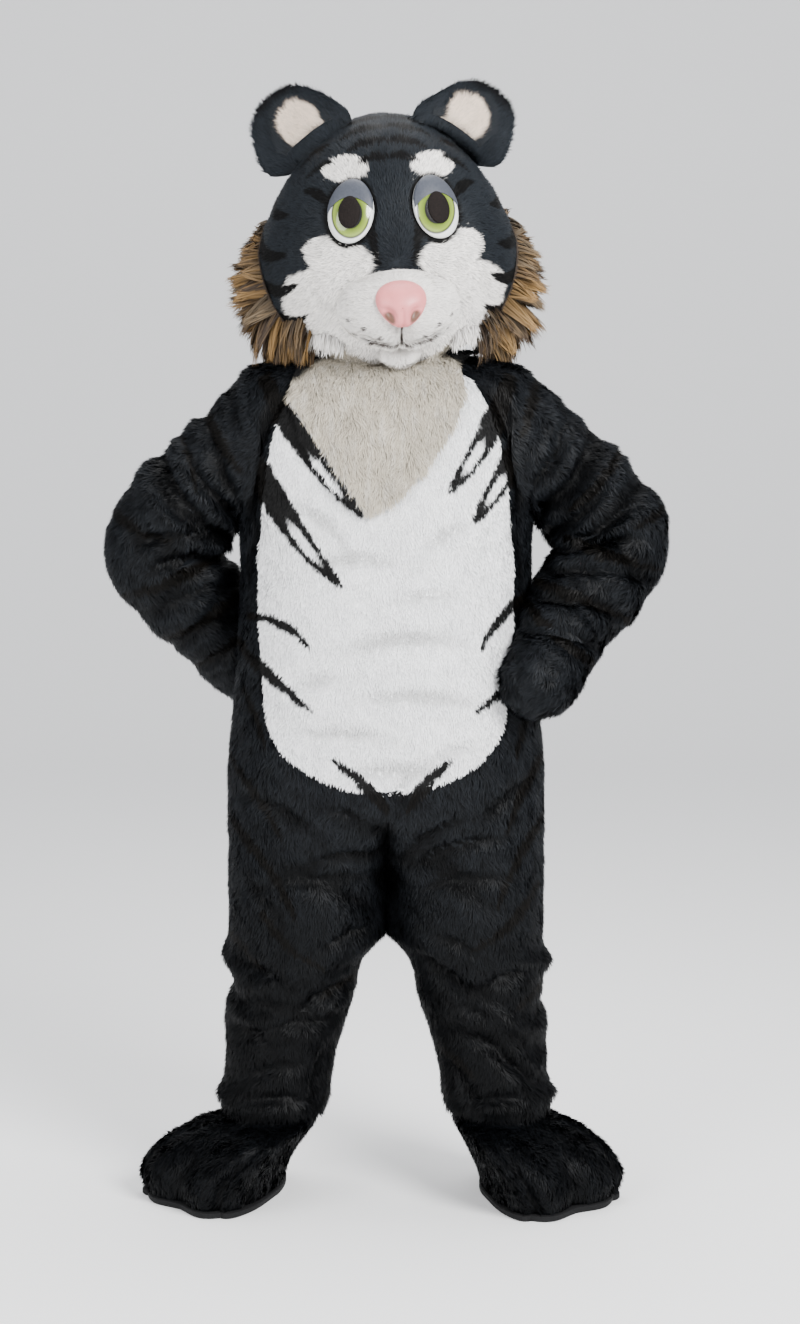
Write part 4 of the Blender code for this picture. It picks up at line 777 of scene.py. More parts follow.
def line_creases(rows, points, middle):
    """How far the deep folds of a table move points of a sleeve whose axis runs at y = middle."""
    total = np.zeros(points.shape[:-1])
    for face, faced in rows.items():
        shown = smoothstep(((points[..., 1] - middle) * face + 0.03) / 0.05)
        for crease in faced:
            length = math.hypot(crease.x1 - crease.x0, crease.height1 - crease.height0)
            way = np.array([crease.x1 - crease.x0, crease.height1 - crease.height0]) / length
            x, up = points[..., 0] - crease.x0, points[..., 2] - crease.height0
            along, across = x * way[0] + up * way[1], x * way[1] - up * way[0]
            share = np.clip(along / length, 0, 1)
            across = across + crease.bend * 4 * share * (1 - share)
            beyond = np.maximum(np.maximum(-along, along - length), 0)
            ends = np.exp(-((beyond / LINE_END) ** 2)) * shown
            lips = 0.28 * np.exp(-((across / (2.4 * crease.width)) ** 2))
            valley = np.exp(-((across / crease.width) ** 2)) - lips
            depth = ARM_CREASE_SCALE * crease.depth * (0.65 + 0.35 * smoothstep(share / 0.3))
            total += depth * valley * ends
    return total


def band(x, y, x0, y0, x1, y1, width, bend, hollow=0.0, ragged=0.0, soft=0.003):
    """From 0 to 1, how much places lie on a band that runs from a blunt end to a pointed one."""
    length = math.hypot(x1 - x0, y1 - y0)
    along = ((x - x0) * (x1 - x0) + (y - y0) * (y1 - y0)) / length**2
    across = ((x1 - x0) * (y - y0) - (y1 - y0) * (x - x0)) / length
    across = across - bend * 4 * along * (1 - along)
    share = np.clip(along, 0, 1)
    half = width * (0.55 + 0.45 * smoothstep(share / 0.4)) * np.sqrt(np.clip(1 - share**3, 0, 1))
    half = half * (1 - 0.25 * share) + ragged
    amount = smoothstep((half - np.abs(across)) / soft + 0.5) * (along > 0) * (along < 1.0)
    if hollow:
        inside = smoothstep((share - LOOP_START) / LOOP_FADE) * smoothstep((LOOP_END - share) / LOOP_FADE)
        gap = (half * hollow * inside - np.abs(across)) / soft
        amount = amount * (1 - smoothstep(gap + 0.5) * inside)
    return amount


def body_stripes(points, rows):
    """The stripes of a table at points of the suit or a sleeve."""
    total = np.zeros(points.shape[:-1])
    ragged = 0.0022 * ripple(points, 0.016, 5) + 0.0012 * ripple(points, 0.006, 6)
    for face, faced in rows.items():
        shown = 1.0 if face == BOTH else smoothstep((points[..., 1] * face + 0.05) / 0.05)
        for stripe in faced:
            amount = band(points[..., 0], points[..., 2], *stripe, ragged=ragged)
            total = np.maximum(total, amount * shown)
    return total


def loops(points):
    """From 0 to 1, how much points lie inside the looped stripes, their pale middles included."""
    looped = [stripe._replace(hollow=0) for stripe in BODY_STRIPES[FRONT] if stripe.hollow]
    return body_stripes(points, {FRONT: looped})


def wrapped_turn(points, wrap):
    """Neighbouring points' steps round and along a grid, for its normals."""
    if wrap:
        body = points[:, :-1]
        around = np.roll(body, -1, axis=1) - np.roll(body, 1, axis=1)
        around = np.concatenate([around, around[:, :1]], axis=1)
    else:
        around = np.gradient(points, axis=1)
    return around, np.gradient(points, axis=0)


def make_grid(points, pull, outward, wrap=False):
    """A grid with normals on the side that outward points to, and nap along pull on the surface."""
    around, along = wrapped_turn(points, wrap)
    normals = unit(np.cross(around, along) + 1e-12)
    normals *= np.sign(np.sum(normals * outward, axis=-1).mean())
    pull = np.broadcast_to(pull, points.shape)
    nap = pull - normals * np.sum(pull * normals, axis=-1, keepdims=True)
    return Grid(points, normals, unit(nap + 1e-9))


def sunk(grid, depth):
    """The same grid, moved in along its normals. At the suit's middle seam it stays where it is."""
    if grid.meets_middle:
        depth = depth * smoothstep(np.abs(grid.points[..., 0]) / SEAM_FADE)
    depth = np.broadcast_to(depth, grid.points.shape[:-1])[..., None]
    return grid._replace(points=grid.points - grid.normals * depth)


def put(name, mesh, material):
    """An object of the costume with a mesh and a material."""
    mesh.materials.append(material)
    piece = bpy.data.objects.new(name, mesh)
    bpy.context.scene.collection.objects.link(piece)
    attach(piece, "root")
    return piece


def add_piece(name, points, faces, material):
    """A closed piece of points and faces, smooth but for its edges."""
    mesh = bpy.data.meshes.new(name)
    mesh.from_pydata(stand(points).tolist(), [], faces)
    work = bmesh.new()
    work.from_mesh(mesh)
    bmesh.ops.remove_doubles(work, verts=work.verts, dist=1e-6)
    bmesh.ops.recalc_face_normals(work, faces=work.faces)
    if work.calc_volume(signed=True) < 0:
        bmesh.ops.reverse_faces(work, faces=work.faces)
    work.to_mesh(mesh)
    work.free()
    mesh.shade_smooth()
    mesh.set_sharp_from_angle(angle=math.radians(SHARP_ANGLE))
    return put(name, mesh, material)


def write_fur(mesh, *channels):
    """Writes the fur attribute: stripe, second colour, height for painted root shade and tip light, and
    tone.
    """
    layer = mesh.attributes.new("fur", "FLOAT_COLOR", "POINT")
    layer.data.foreach_set("color", np.stack(channels, axis=-1).astype(np.float32).ravel())


def paint(piece, look, root=0.62, shaded_hollow=None):
    """Gives a cloth its look, at the height root of the fur's painted shade and light. Given a point
    inside a hollow piece, it paints the piece's inner side black, as shade."""
    mesh = piece.data
    points = np.empty(len(mesh.vertices) * 3)
    mesh.vertices.foreach_get("co", points)
    points = points.reshape(-1, 3) + np.array([0, 0, HOLD_HEIGHT])
    stripe, second = look(points)
    if shaded_hollow is not None:
        normals = np.empty(points.size)
        mesh.vertices.foreach_get("normal", normals)
        inner = np.sum(normals.reshape(-1, 3) * (points - shaded_hollow), axis=-1) < 0
        stripe, second = np.where(inner, 1, stripe), np.where(inner, 0, second)
    write_fur(mesh, stripe, second, np.full(len(points), root), np.full(len(points), 0.5))


def grid_faces(rows, columns, wrap, start):
    """Quads of a grid of points whose first has the number start."""
    faces = []
    for i in range(rows - 1):
        for j in range(columns if wrap else columns - 1):
            k = (j + 1) % columns
            corners = (i * columns + j, i * columns + k, (i + 1) * columns + k, (i + 1) * columns + j)
            faces.append([start + corner for corner in corners])
    return faces


def wall(name, outer, inner, wrap, material):
    """A piece that is a closed wall between two grids of points."""
    if wrap:
        outer, inner = outer[:, :-1], inner[:, :-1]
    rows, columns = outer.shape[:2]
    count = rows * columns
    faces = grid_faces(rows, columns, wrap, 0)
    faces += [face[::-1] for face in grid_faces(rows, columns, wrap, count)]
    edges = [[(i, j) for j in range(columns)] for i in (0, rows - 1)]
    if wrap:
        edges = [edge + edge[:1] for edge in edges]
    else:
        edges += [[(i, j) for i in range(rows)] for j in (0, columns - 1)]
    for edge in edges:
        numbers = [i * columns + j for i, j in edge]
        for a, b in zip(numbers, numbers[1:]):
            faces.append([a, b, count + b, count + a])
    points = np.concatenate([outer.reshape(-1, 3), inner.reshape(-1, 3)])
    return add_piece(name, points, faces, material)


class Sample:
    """Random places on a grid, even by area: values of the grid's arrays there, and steps for a map."""

    def __init__(self, grid, count, seed):
        rng = np.random.default_rng(seed)
        p = grid.points
        across = p[:-1, 1:] - p[1:, :-1]
        down = p[1:, 1:] - p[:-1, :-1]
        area = np.linalg.norm(np.cross(down, across), axis=-1) / 2
        total = np.cumsum(area.ravel())
        cell = np.searchsorted(total, rng.uniform(0, total[-1], count)).clip(0, area.size - 1)
        self.row, self.column = np.divmod(cell, area.shape[1])
        self.down, self.right = rng.uniform(0, 1, count), rng.uniform(0, 1, count)
        self.rng, self.count, self.shape = rng, count, area.shape
        self.right_step = p[self.row, self.column + 1] - p[self.row, self.column]
        self.down_step = p[self.row + 1, self.column] - p[self.row, self.column]
        self.root = self.of(p)

    def of(self, values):
        t, s = self.down[:, None], self.right[:, None]
        row, column = self.row, self.column
        top = values[row, column] * (1 - s) + values[row, column + 1] * s
        bottom = values[row + 1, column] * (1 - s) + values[row + 1, column + 1] * s
        return top * (1 - t) + bottom * t

    def map_of(self, offset):
        """Places on the map of points that lie offset from the sampled ones."""
        right = np.sum(offset * self.right_step, -1) / np.sum(self.right_step**2, -1).clip(1e-9)
        down = np.sum(offset * self.down_step, -1) / np.sum(self.down_step**2, -1).clip(1e-9)
        u = (self.column + self.right + right) / self.shape[1]
        v = (self.row + self.down + down) / self.shape[0]
        return np.clip(np.stack([u, 1 - v], axis=-1), 0.001, 0.999)


Hair = namedtuple("Hair", "count length width lean wander bend segments clump")


def hair_mesh(name, spots, normal, heading, hair, look, fur, gather=None):
    """One mesh of tapered blades of fur that stand on the sampled spots. gather leads from the roots to
    the tips of the blades' locks."""
    rng, count = spots.rng, spots.count
    root = spots.root
    lean = np.radians(hair.lean) * rng.uniform(0.7, 1.35, count) * (1 + 0.25 * ripple(root, 0.03, 21))
    rise = normal * np.sin(lean)[:, None] + heading * np.cos(lean)[:, None]
    length = hair.length * rng.uniform(0.75, 1.15, count) * (1 + 0.12 * ripple(root, 0.045, 22))
    roll = rng.uniform(-0.7, 0.7, count)[:, None]
    side = unit(np.cross(heading, normal) * np.cos(roll) + normal * np.sin(roll))
    side = unit(side - rise * np.sum(side * rise, -1, keepdims=True))
    fall = unit(heading - normal * 0.6) * hair.bend
    corners, tips, uvs = [], [], []
    for k in range(hair.segments + 1):
        share = k / hair.segments
        middle = (rise * share + fall * share**2) * length[:, None]
        if gather is not None:
            arch = LOCK_ARCH * 4 * share * (1 - share) * np.linalg.norm(gather, axis=-1)
            middle = gather * share + normal * arch[:, None]
        half = side * (hair.width / 2 * (1 - share**1.5))
        for way in (-1, 1) if k < hair.segments else (0,):
            offset = middle + half * way
            corners.append(root + offset)
            uvs.append(spots.map_of(offset))
            tips.append(np.full(count, share))
    per = len(corners)
    points = np.stack(corners, axis=1).reshape(-1, 3)
    points[:, 2] = np.maximum(points[:, 2], FLOOR_CLEARANCE)
    maps = np.stack(uvs, axis=1).reshape(-1, 2)
    tip = np.stack(tips, axis=1).reshape(-1)
    pattern = []
    for k in range(hair.segments - 1):
        a = 2 * k
        pattern += [(a, a + 1, a + 3), (a, a + 3, a + 2)]
    pattern.append((per - 3, per - 2, per - 1))
    pattern = np.array(pattern)
    faces = (np.arange(count)[:, None, None] * per + pattern[None]).reshape(-1)
    mesh = bpy.data.meshes.new(name)
    mesh.vertices.add(len(points))
    mesh.vertices.foreach_set("co", stand(points).astype(np.float32).ravel())
    mesh.loops.add(len(faces))
    mesh.loops.foreach_set("vertex_index", faces.astype(np.int32))
    mesh.polygons.add(len(faces) // 3)
    mesh.polygons.foreach_set("loop_start", np.arange(0, len(faces), 3, dtype=np.int32))
    mesh.update(calc_edges=True)
    stripe, second = look(root + heading * (LOOK_SHARE * length)[:, None])
    tufts = 0.18 * ripple(root, 0.011, 23) + 0.13 * ripple(root, 0.030, 24)
    shade = np.clip(0.5 + tufts + 0.17 * rng.normal(size=count), 0, 1)
    write_fur(mesh, stripe.repeat(per), second.repeat(per), tip, shade.repeat(per))
    uv = mesh.uv_layers.new(name="OFBake")
    uv.data.foreach_set("uv", maps[faces].astype(np.float32).ravel())
    mesh.shade_smooth()
    flat = unit(np.cross(rise, side))
    flat *= np.sign(np.sum(flat * normal, -1, keepdims=True))
    soft = unit(normal * SHAPE_NORMALS + flat * (1 - SHAPE_NORMALS) + rise * 0.12)
    mesh.normals_split_custom_set_from_vertices(soft.repeat(per, axis=0).astype(np.float32))
    return put(name, mesh, fur.pile)


def grow(name, grid, hair, look, fur, seed):
    """Fur on a grid: blades that lie along its nap in soft uneven clumps, with painted shade in its
    valleys.
    """
    spots = Sample(grid, hair.count, seed)
    normal, nap = unit(spots.of(grid.normals)), unit(spots.of(grid.nap))
    across = np.cross(normal, nap)
    turn = hair.clump * ripple(spots.root, 0.035, 11) + 0.4 * hair.clump * ripple(spots.root, 0.013, 12)
    turn = turn + hair.wander * spots.rng.normal(size=hair.count)
    heading = unit(nap * np.cos(turn)[:, None] + across * np.sin(turn)[:, None])
    valley = 0 if grid.valley is None else spots.of(grid.valley[..., None])[:, 0]

    def shaded(points):
        stripe, second = look(points)
        return stripe, np.maximum(second, valley)

    return hair_mesh(name, spots, normal, heading, hair, shaded, fur)


def cloth(name, node, grid, hair, look, fur, seed, wrap=False):
    """A garment piece: a thin cloth under the solid's outside, with its pile as a mesh of its own."""
    under = sunk(grid, PILE)
    piece = wall(name, under.points, under.points - under.normals * CLOTH, wrap, fur.cloth)
    paint(piece, look)
    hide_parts(node)
    pile = grow(name + "_pile", under, hair, look, fur, seed)


def new_material(name):
    material = bpy.data.materials.new(name)
    material.use_nodes = True
    tree = material.node_tree
    return material, tree, tree.nodes["Principled BSDF"]


def set_inputs(tree, node, inputs):
    """Sets a node's inputs to values, or links them to sockets."""
    for key, value in inputs.items():
        if isinstance(value, bpy.types.NodeSocket):
            tree.links.new(value, node.inputs[key])
        else:
            node.inputs[key].default_value = value


def add_node(tree, kind, inputs=(), **settings):
    """A shader node with its settings and inputs."""
    node = tree.nodes.new(kind)
    for key, value in settings.items():
        setattr(node, key, value)
    set_inputs(tree, node, dict(inputs))
    return node


def object_place(tree):
    return add_node(tree, "ShaderNodeTexCoord").outputs["Object"]


def noise(tree, place, scale, detail, roughness=0.5):
    inputs = {"Vector": place, "Scale": scale, "Detail": detail, "Roughness": roughness}
    return add_node(tree, "ShaderNodeTexNoise", inputs).outputs["Fac"]


def bump(tree, height, strength, distance):
    inputs = {"Height": height, "Strength": strength, "Distance": distance}
    return add_node(tree, "ShaderNodeBump", inputs).outputs[0]


def fur_channels(tree):
    """The fur attribute's red, green and blue, and its alpha."""
    fur = add_node(tree, "ShaderNodeAttribute", attribute_name="fur").outputs
    return add_node(tree, "ShaderNodeSeparateColor", {"Color": fur["Color"]}).outputs, fur["Alpha"]


def mix_colours(tree, factor, a, b):
    """A mix of two colours, each a socket or three numbers."""
    a, b = (colour if isinstance(colour, bpy.types.NodeSocket) else (*colour, 1.0) for colour in (a, b))
    return add_node(tree, "ShaderNodeMix", {0: factor, 6: a, 7: b}, data_type="RGBA").outputs[2]


def calculate(tree, operation, a, b=0.0, c=0.0, clamp=False):
    node = add_node(tree, "ShaderNodeMath", {0: a, 1: b, 2: c}, operation=operation, use_clamp=clamp)
    return node.outputs[0]


# How often a fur's streaks come in a metre, across and along them.
FUR_STREAKS = (90, 90, 14)


def fur_material(name, base, second, stripe, roots=0.45, tips=1.25, spread=0.5, patchy=0.22, sheen=0.25,
                 rough=0.62, bumpy=False, gloss=0.3):
    """Fur whose attribute says what is striped and what has the second colour. Painted shade darkens its
    roots, and painted light makes its tips its palest.
    """
    material, tree, shader = new_material(name)
    parts, alpha = fur_channels(tree)
    place = object_place(tree)
    colour = mix_colours(tree, parts["Green"], base, second)
    colour = mix_colours(tree, parts["Red"], colour, stripe)
    stretched = add_node(tree, "ShaderNodeMapping", {"Vector": place, "Scale": FUR_STREAKS}).outputs[0]
    streaks, patches = noise(tree, stretched, 1.0, 4.0, 0.6), noise(tree, place, 16.0, 3.0, 0.55)
    uneven = calculate(tree, "MULTIPLY_ADD", streaks, patchy, 1 - patchy / 2)
    mottled = calculate(tree, "MULTIPLY_ADD", patches, patchy, 1 - patchy / 2)
    # Painted shade and light along each blade: darkest at its root, palest at its tip.
    height = calculate(tree, "MULTIPLY_ADD", parts["Blue"], tips - roots, roots)
    single = calculate(tree, "MULTIPLY_ADD", alpha, spread, 1 - spread / 2)
    shade = calculate(tree, "MULTIPLY", calculate(tree, "MULTIPLY", uneven, mottled),
                      calculate(tree, "MULTIPLY", height, single))
    scaled = add_node(tree, "ShaderNodeVectorMath", {0: colour, "Scale": shade}, operation="SCALE")
    set_inputs(tree, shader, {"Base Color": scaled.outputs[0], "Roughness": rough, "Sheen Weight": sheen,
                              "Specular IOR Level": gloss, "Sheen Roughness": 0.45})
    if bumpy:
        set_inputs(tree, shader, {"Normal": bump(tree, streaks, 0.5, 0.002)})
    return material


def grained_material(name, dark, light, scale, rough, gloss):
    """A rubber or vinyl with a fine grain between two colours."""
    material, tree, shader = new_material(name)
    grain = noise(tree, object_place(tree), scale, 4.0)
    set_inputs(tree, shader, {"Base Color": mix_colours(tree, grain, dark, light), "Roughness": rough,
                              "Specular IOR Level": gloss, "Normal": bump(tree, grain, 0.4, 0.0008)})
    return material


Fur = namedtuple("Fur", "cloth pile slot")


def fur_pair(name, slot, *colours, **settings):
    """The materials of a cloth and of the pile on it, and the slot of both."""
    backing = fur_material(name + "_cloth", *colours, bumpy=True, **settings)
    return Fur(backing, fur_material(name + "_pile", *colours, **settings), slot)


# Hair for each kind of place: count is set where it is grown.
SHORT = Hair(0, 0.0150, 0.0030, 25, 0.20, 0.10, 1, 0.52)
LIMB = Hair(0, 0.0155, 0.0031, 27, 0.22, 0.10, 1, 0.60)
HEAD_HAIR = Hair(0, 0.0115, 0.0022, 27, 0.20, 0.10, 1, 0.40)
EAR_HAIR = Hair(0, 0.0120, 0.0021, 26, 0.26, 0.10, 1, 0.40)
BIB_HAIR = Hair(0, 0.0165, 0.0026, 21, 0.24, 0.20, 2, 0.45)
LOCK = Hair(0, 0.0450, 0.0034, 24, 0.22, 0.35, 4, 0.45)


def suit_levels(upper, rounded, lower):
    """Levels of the suit's rows: above the belly's rounded end, round it, and on down to the hem."""
    side = np.linspace(NECK_LEVEL, BELLY_TURN_LEVEL, upper)
    quarter = np.linspace(0, math.pi / 2, rounded + 1)[1:]
    end = BELLY_TURN_LEVEL + (BELLY_BOTTOM - BELLY_TURN_LEVEL) * np.sin(quarter)
    legs = np.linspace(BELLY_BOTTOM - 3 * LEVEL_SLACK, HEM_LEVEL, max(lower, 1))[:lower]
    return np.concatenate([side, end, legs])


def painted_fold_shade(depth, deepest):
    """Painted shade from 0 to 1: how far down in a fold places lie that folds move by depth."""
    return smoothstep(-depth / deepest)


def suit_grid(u, levels, side, style=DARK_CREASES):
    """Outside points of the suit at a grid of turns, with the finer creases and painted shade in its folds.
    """
    u, level = np.broadcast_arrays(u, levels[:, None])
    outer, normals, folds = folded_suit(u, level, side)
    edges = smoothstep((level - HEM_LEVEL) / CREASE_FADE) * smoothstep((NECK_LEVEL - level) / CREASE_FADE)
    edges = edges * smoothstep((np.abs(normals[..., 1]) - 0.25) / 0.3)
    depth = style.scale * creases(SUIT_CREASES, outer) * edges
    shift = normals * depth[..., None]
    shift[..., 0] *= smoothstep(np.abs(outer[..., 0]) / SEAM_REACH)
    grid = make_grid(outer + shift, (0.05 * side, 0, -1), normals)
    return grid._replace(valley=painted_fold_shade(depth + folds, style.shade))


def front_grid(side):
    levels = suit_levels(66, 12, 70)
    gap = gap_u(levels, SEAM_GAP / 2)
    start = np.where(levels > BELLY_BOTTOM - LEVEL_SLACK, belly_u(levels, PAD_GAP), gap)
    end = 1 - np.maximum(armhole_cut(levels), gap)
    grid = suit_grid(between(start, end, 24), levels, side)
    joined = (levels < BELLY_BOTTOM - LEVEL_SLACK) & (levels > CROTCH_LEVEL)
    grid.points[joined, 0, 0] = -side * SEAM_LAP
    return grid._replace(meets_middle=True)


def back_grid(side):
    levels = suit_levels(60, 8, 62)
    gap = gap_u(levels, SEAM_GAP / 2)
    start = 1 + np.maximum(armhole_cut(levels), gap)
    grid = suit_grid(between(start, 2 - gap, 26), levels, side)
    grid.points[levels > CROTCH_LEVEL, -1, 0] = -side * SEAM_LAP
    return grid._replace(meets_middle=True)


def belly_grid():
    levels = suit_levels(80, 14, 0)
    half = between(np.zeros(len(levels)), belly_u(levels), 22)
    right = suit_grid(half[:, :0:-1], levels, RIGHT, BELLY_CREASES)
    left = suit_grid(half, levels, LEFT, BELLY_CREASES)
    joined = [np.concatenate([a, b], axis=1) for a, b in zip(right[:3], left[:3])]
    valley = np.concatenate([right.valley, left.valley], axis=1)
    return Grid(*joined, valley=valley)


def armhole_loop(side, turn):
    """The armhole's edge from the top, down the front and up the back, with the torso's normals."""
    level, u = ARMHOLE_MIDDLE + ARMHOLE_HALF * np.cos(turn), 1 - ARMHOLE_DEPTH * np.sin(turn)
    points, normals, _ = folded_suit(u, level, side)
    tangent = unit(np.roll(points, -1, axis=0) - np.roll(points, 1, axis=0))
    into_hole = unit(np.cross(tangent, normals))
    into_hole *= np.sign(np.sum(into_hole * (points.mean(axis=0) - points), axis=1).mean())
    return points, into_hole, normals


def closed(ring):
    """Repeats a ring's first column at its end."""
    return np.concatenate([ring, ring[:, :1]], axis=1)


def ring_grid(outer, centre, pull, valley=None):
    """A grid round a closed ring, with its first column repeated at its end, and painted shade if given."""
    outer, centre, pull = (closed(part) for part in (outer, centre + 0 * outer, pull + 0 * outer))
    grid = make_grid(outer, pull, outer - centre, wrap=True)
    return grid if valley is None else grid._replace(valley=closed(valley))


def full_turn(columns):
    """Turns of the columns of a closed ring."""
    return np.linspace(0, 2 * math.pi, columns + 1)[:-1]


def sleeve_grid(side):
    """A sleeve, from its edge tucked in at the armhole to the cuff."""
    turn = full_turn(52)
    stations = np.linspace(0, CUFF_STATION, 70)[:, None] + 0 * turn
    turns = turn[None, :] + 0 * stations
    tube, centre, along, reach = arm_surface(side, stations, turns)
    loop, into_hole, torso_normals = armhole_loop(side, turn)
    share = smoothstep(stations / SLEEVE_CAP_STATIONS)[..., None]
    outer = (loop + centre - centre[0]) * (1 - share) + tube * share
    folds = fold_sum(FINE_SLEEVE_FOLDS[side], stations, turns, FINE_FOLD_FADE)
    folds = folds + line_creases(ARM_CREASES, outer, centre[..., 1])
    spacing = np.linalg.norm(np.gradient(outer, axis=0), axis=-1)
    room = np.clip(spacing / (0.75 * spacing.mean()), 0.25, 1)
    folds = folds * room * smoothstep(stations / CAP_FOLD_FADE)
    outer = outer + reach * folds[..., None]
    # Painted shade in the valleys of the sleeve's folds.
    valley = painted_fold_shade(folds + sleeve_folds(side, stations, turns), SLEEVE_FOLD_SHADE)
    outer[0] = loop + into_hole * SEAM_GAP
    outer[1:] = keep_off_torso(outer[1:], REST_GAP)
    tucked = loop - into_hole * SLEEVE_TUCK - torso_normals * 0.7 * SLEEVE_TUCK
    centre, along, valley = (np.concatenate([part[:1], part]) for part in (centre, along, valley))
    return ring_grid(np.concatenate([tucked[None], outer]), centre, along, valley)


def mitt_grid(side):
    """A mitt, from its cuff inside the sleeve to its rounded end, with finger grooves."""
    turn = full_turn(56)
    last = len(ARM_STATIONS[side]) - 1
    cuff = [CUFF_STATION - 1 / ARM_STEPS, CUFF_STATION - 0.05]
    stations = np.concatenate([cuff, np.linspace(CUFF_STATION + 0.12, last, 14)])[:, None] + 0 * turn
    turns = turn[None, :] + 0 * stations
    outer, centre, along, reach = arm_surface(side, stations, turns)
    outer[:2] -= reach[:2] * (FUR_WALL + PAD_GAP)
    share = (stations - stations[2:3]) / (last - stations[2, 0])
    for middle in GROOVE_TURNS:
        offset = np.degrees(turns) - middle
        groove = np.exp(-((offset / GROOVE_WIDTH) ** 2)) * smoothstep((share - 0.25) / 0.3)
        outer = outer - reach * (GROOVE_DEPTH * groove)[..., None]
    heart, end = centre[-1], outer[-1]
    tip = heart + along[-1] * MITT_TIP
    caps = []
    for swing in (30, 55, 75):
        angle = math.radians(swing)
        caps.append(heart + (end - heart) * math.cos(angle) + (tip - heart) * math.sin(angle))
    caps.append(tip + (end - heart) * 0.04)
    centre, along = (np.concatenate([part, np.repeat(part[-1:], 4, axis=0)]) for part in (centre, along))
    return ring_grid(np.concatenate([outer, np.array(caps)]), centre, along)


def foot_turns():
    """Turns of the foot's columns: closer round the toes than round the heel."""
    toes = math.radians(TOE_ANGLE)
    front = np.linspace(-toes, toes, 61)
    back = np.linspace(toes, 2 * math.pi - toes, 37)[1:-1]
    return np.concatenate([front, back])


def foot_grid(side):
    """A foot cover, from the sole to its collar inside the trouser leg, with seams between the toes and
    painted shade in them.
    """
    turn = foot_turns()
    ankle, toward, outward = foot_frame(side)
    rings = [foot_ring(side, section) for section in FOOT_SECTIONS]
    direction = np.cos(turn)[:, None] * toward + np.sin(turn)[:, None] * outward
    for level in COLLAR_LEVELS:
        ring = leg_ring_point(side, level, direction)
        inward = unit(np.array([ankle[0], ankle[1], level]) - ring)
        rings.append(ring + inward * (COLLAR_CLEARANCE + 0.001))
    knots = np.arange(len(rings))
    rows = np.concatenate([knots[:, None], np.array(rings).reshape(len(rings), -1)], axis=1)
    share = np.linspace(0, len(rings) - 1, 27)
    outer = np.moveaxis(columns_at(rows, share), 0, 1).reshape(len(share), len(turn), 3)
    centre = outer.mean(axis=1, keepdims=True) + 0 * outer
    away = unit((outer - centre) * np.array([1, 1, 0]))
    degrees = (np.degrees(turn) + 180) % 360 - 180
    seams = np.exp(-(((degrees - np.array(TOE_SEAMS)[:, None]) / TOE_SEAM_WIDTH) ** 2)).max(axis=0)
    groove = seams[None, :] * smoothstep((TOE_SEAM_TOP - outer[..., 2]) / TOE_SEAM_FADE)
    outer = outer - away * (TOE_SEAM_DEPTH * groove)[..., None]
    pull = toward * 0.75 + np.array([0, 0, -0.65])
    return ring_grid(outer, centre, pull, TOE_SEAM_SHADE * groove)


def head_grid(first, last):
    """Half of the head's outside, between two azimuths in degrees."""
    gap = math.degrees(SEAM_GAP / 2 / HEAD_HALF_WIDTH)
    azimuth = np.radians(np.linspace(first + gap, last - gap, 49))
    share = np.linspace(0, 1, 43)[:, None]
    elevation = opening_elevation(azimuth) * (1 - share) + math.radians(HEAD_TOP_ELEVATION) * share
    outer, normals = head_skin(azimuth + 0 * elevation, elevation)
    nose = head_form(np.radians(NOSE.azimuth), np.radians(NOSE.elevation + 12))
    return make_grid(outer, unit(outer - nose) + np.array([0, 0.35, -0.25]), normals)


def height_of(pad, side, azimuth, elevation):
    """Height of a pad's outside above the head at any place on it."""
    across = (np.degrees(azimuth) - pad.azimuth * side) / pad.half_across
    up = (np.degrees(elevation) - pad.elevation) / pad.half_up
    share = np.hypot(across, up)
    return np.where(share < 1, PAD_GAP + PAD_EDGE + profile(pad, share), 0)


def pad_grid(shape, side=LEFT, under=None, rings=14, spokes=48, relief=None, narrow=0.0):
    """A rounded pad from its rim in to its middle, and the points under it. narrow is how much of its
    width it loses towards its lower end."""
    turn = full_turn(spokes)
    share = np.cos(np.linspace(0, math.pi / 2 - 0.02, rings + 1))[:, None]
    across = shape.half_across * share * np.cos(turn) * (1 - narrow * (1 - np.sin(turn)) / 2)
    azimuth = np.radians(shape.azimuth * side + across)
    elevation = np.radians(shape.elevation + shape.half_up * share * np.sin(turn))
    base = np.full(azimuth.shape, PAD_GAP)
    if under is not None:
        base = base + height_of(under, side, azimuth, elevation)
    height = base + PAD_EDGE + profile(shape, share)
    if relief is not None:
        height = height + relief(np.degrees(azimuth), np.degrees(elevation), share)
        height = np.maximum(height, base + THINNEST_PAD)
    surface, normals = head_skin(azimuth, elevation)
    back, front = (surface + normals * layer[..., None] for layer in (base, height))
    middle = head_form(np.radians(shape.azimuth * side), np.radians(shape.elevation)) + 0 * front
    ring = ring_grid(front, middle - normals * 0.1, unit(front - middle + 1e-6))
    return ring, closed(back)


def head_place(points):
    """Azimuth and elevation of points near the head, in degrees on the upright head."""
    yaw, roll = math.radians(HEAD_YAW), math.radians(HEAD_ROLL)
    local = points - HEAD_CENTRE
    x = local[..., 0] * math.cos(roll) - local[..., 2] * math.sin(roll)
    z = local[..., 0] * math.sin(roll) + local[..., 2] * math.cos(roll)
    y = local[..., 1]
    x, y = x * math.cos(yaw) + y * math.sin(yaw), y * math.cos(yaw) - x * math.sin(yaw)
    depth = np.where(y < 0, HEAD_FRONT, HEAD_BACK)
    x, y, z = x / HEAD_HALF_WIDTH, y / depth, z / np.where(z > 0, HEAD_UP, HEAD_DOWN)
    azimuth = np.degrees(np.arctan2(x, -y))
    elevation = np.degrees(np.arctan2(z, np.hypot(x, y)))
    return azimuth, elevation


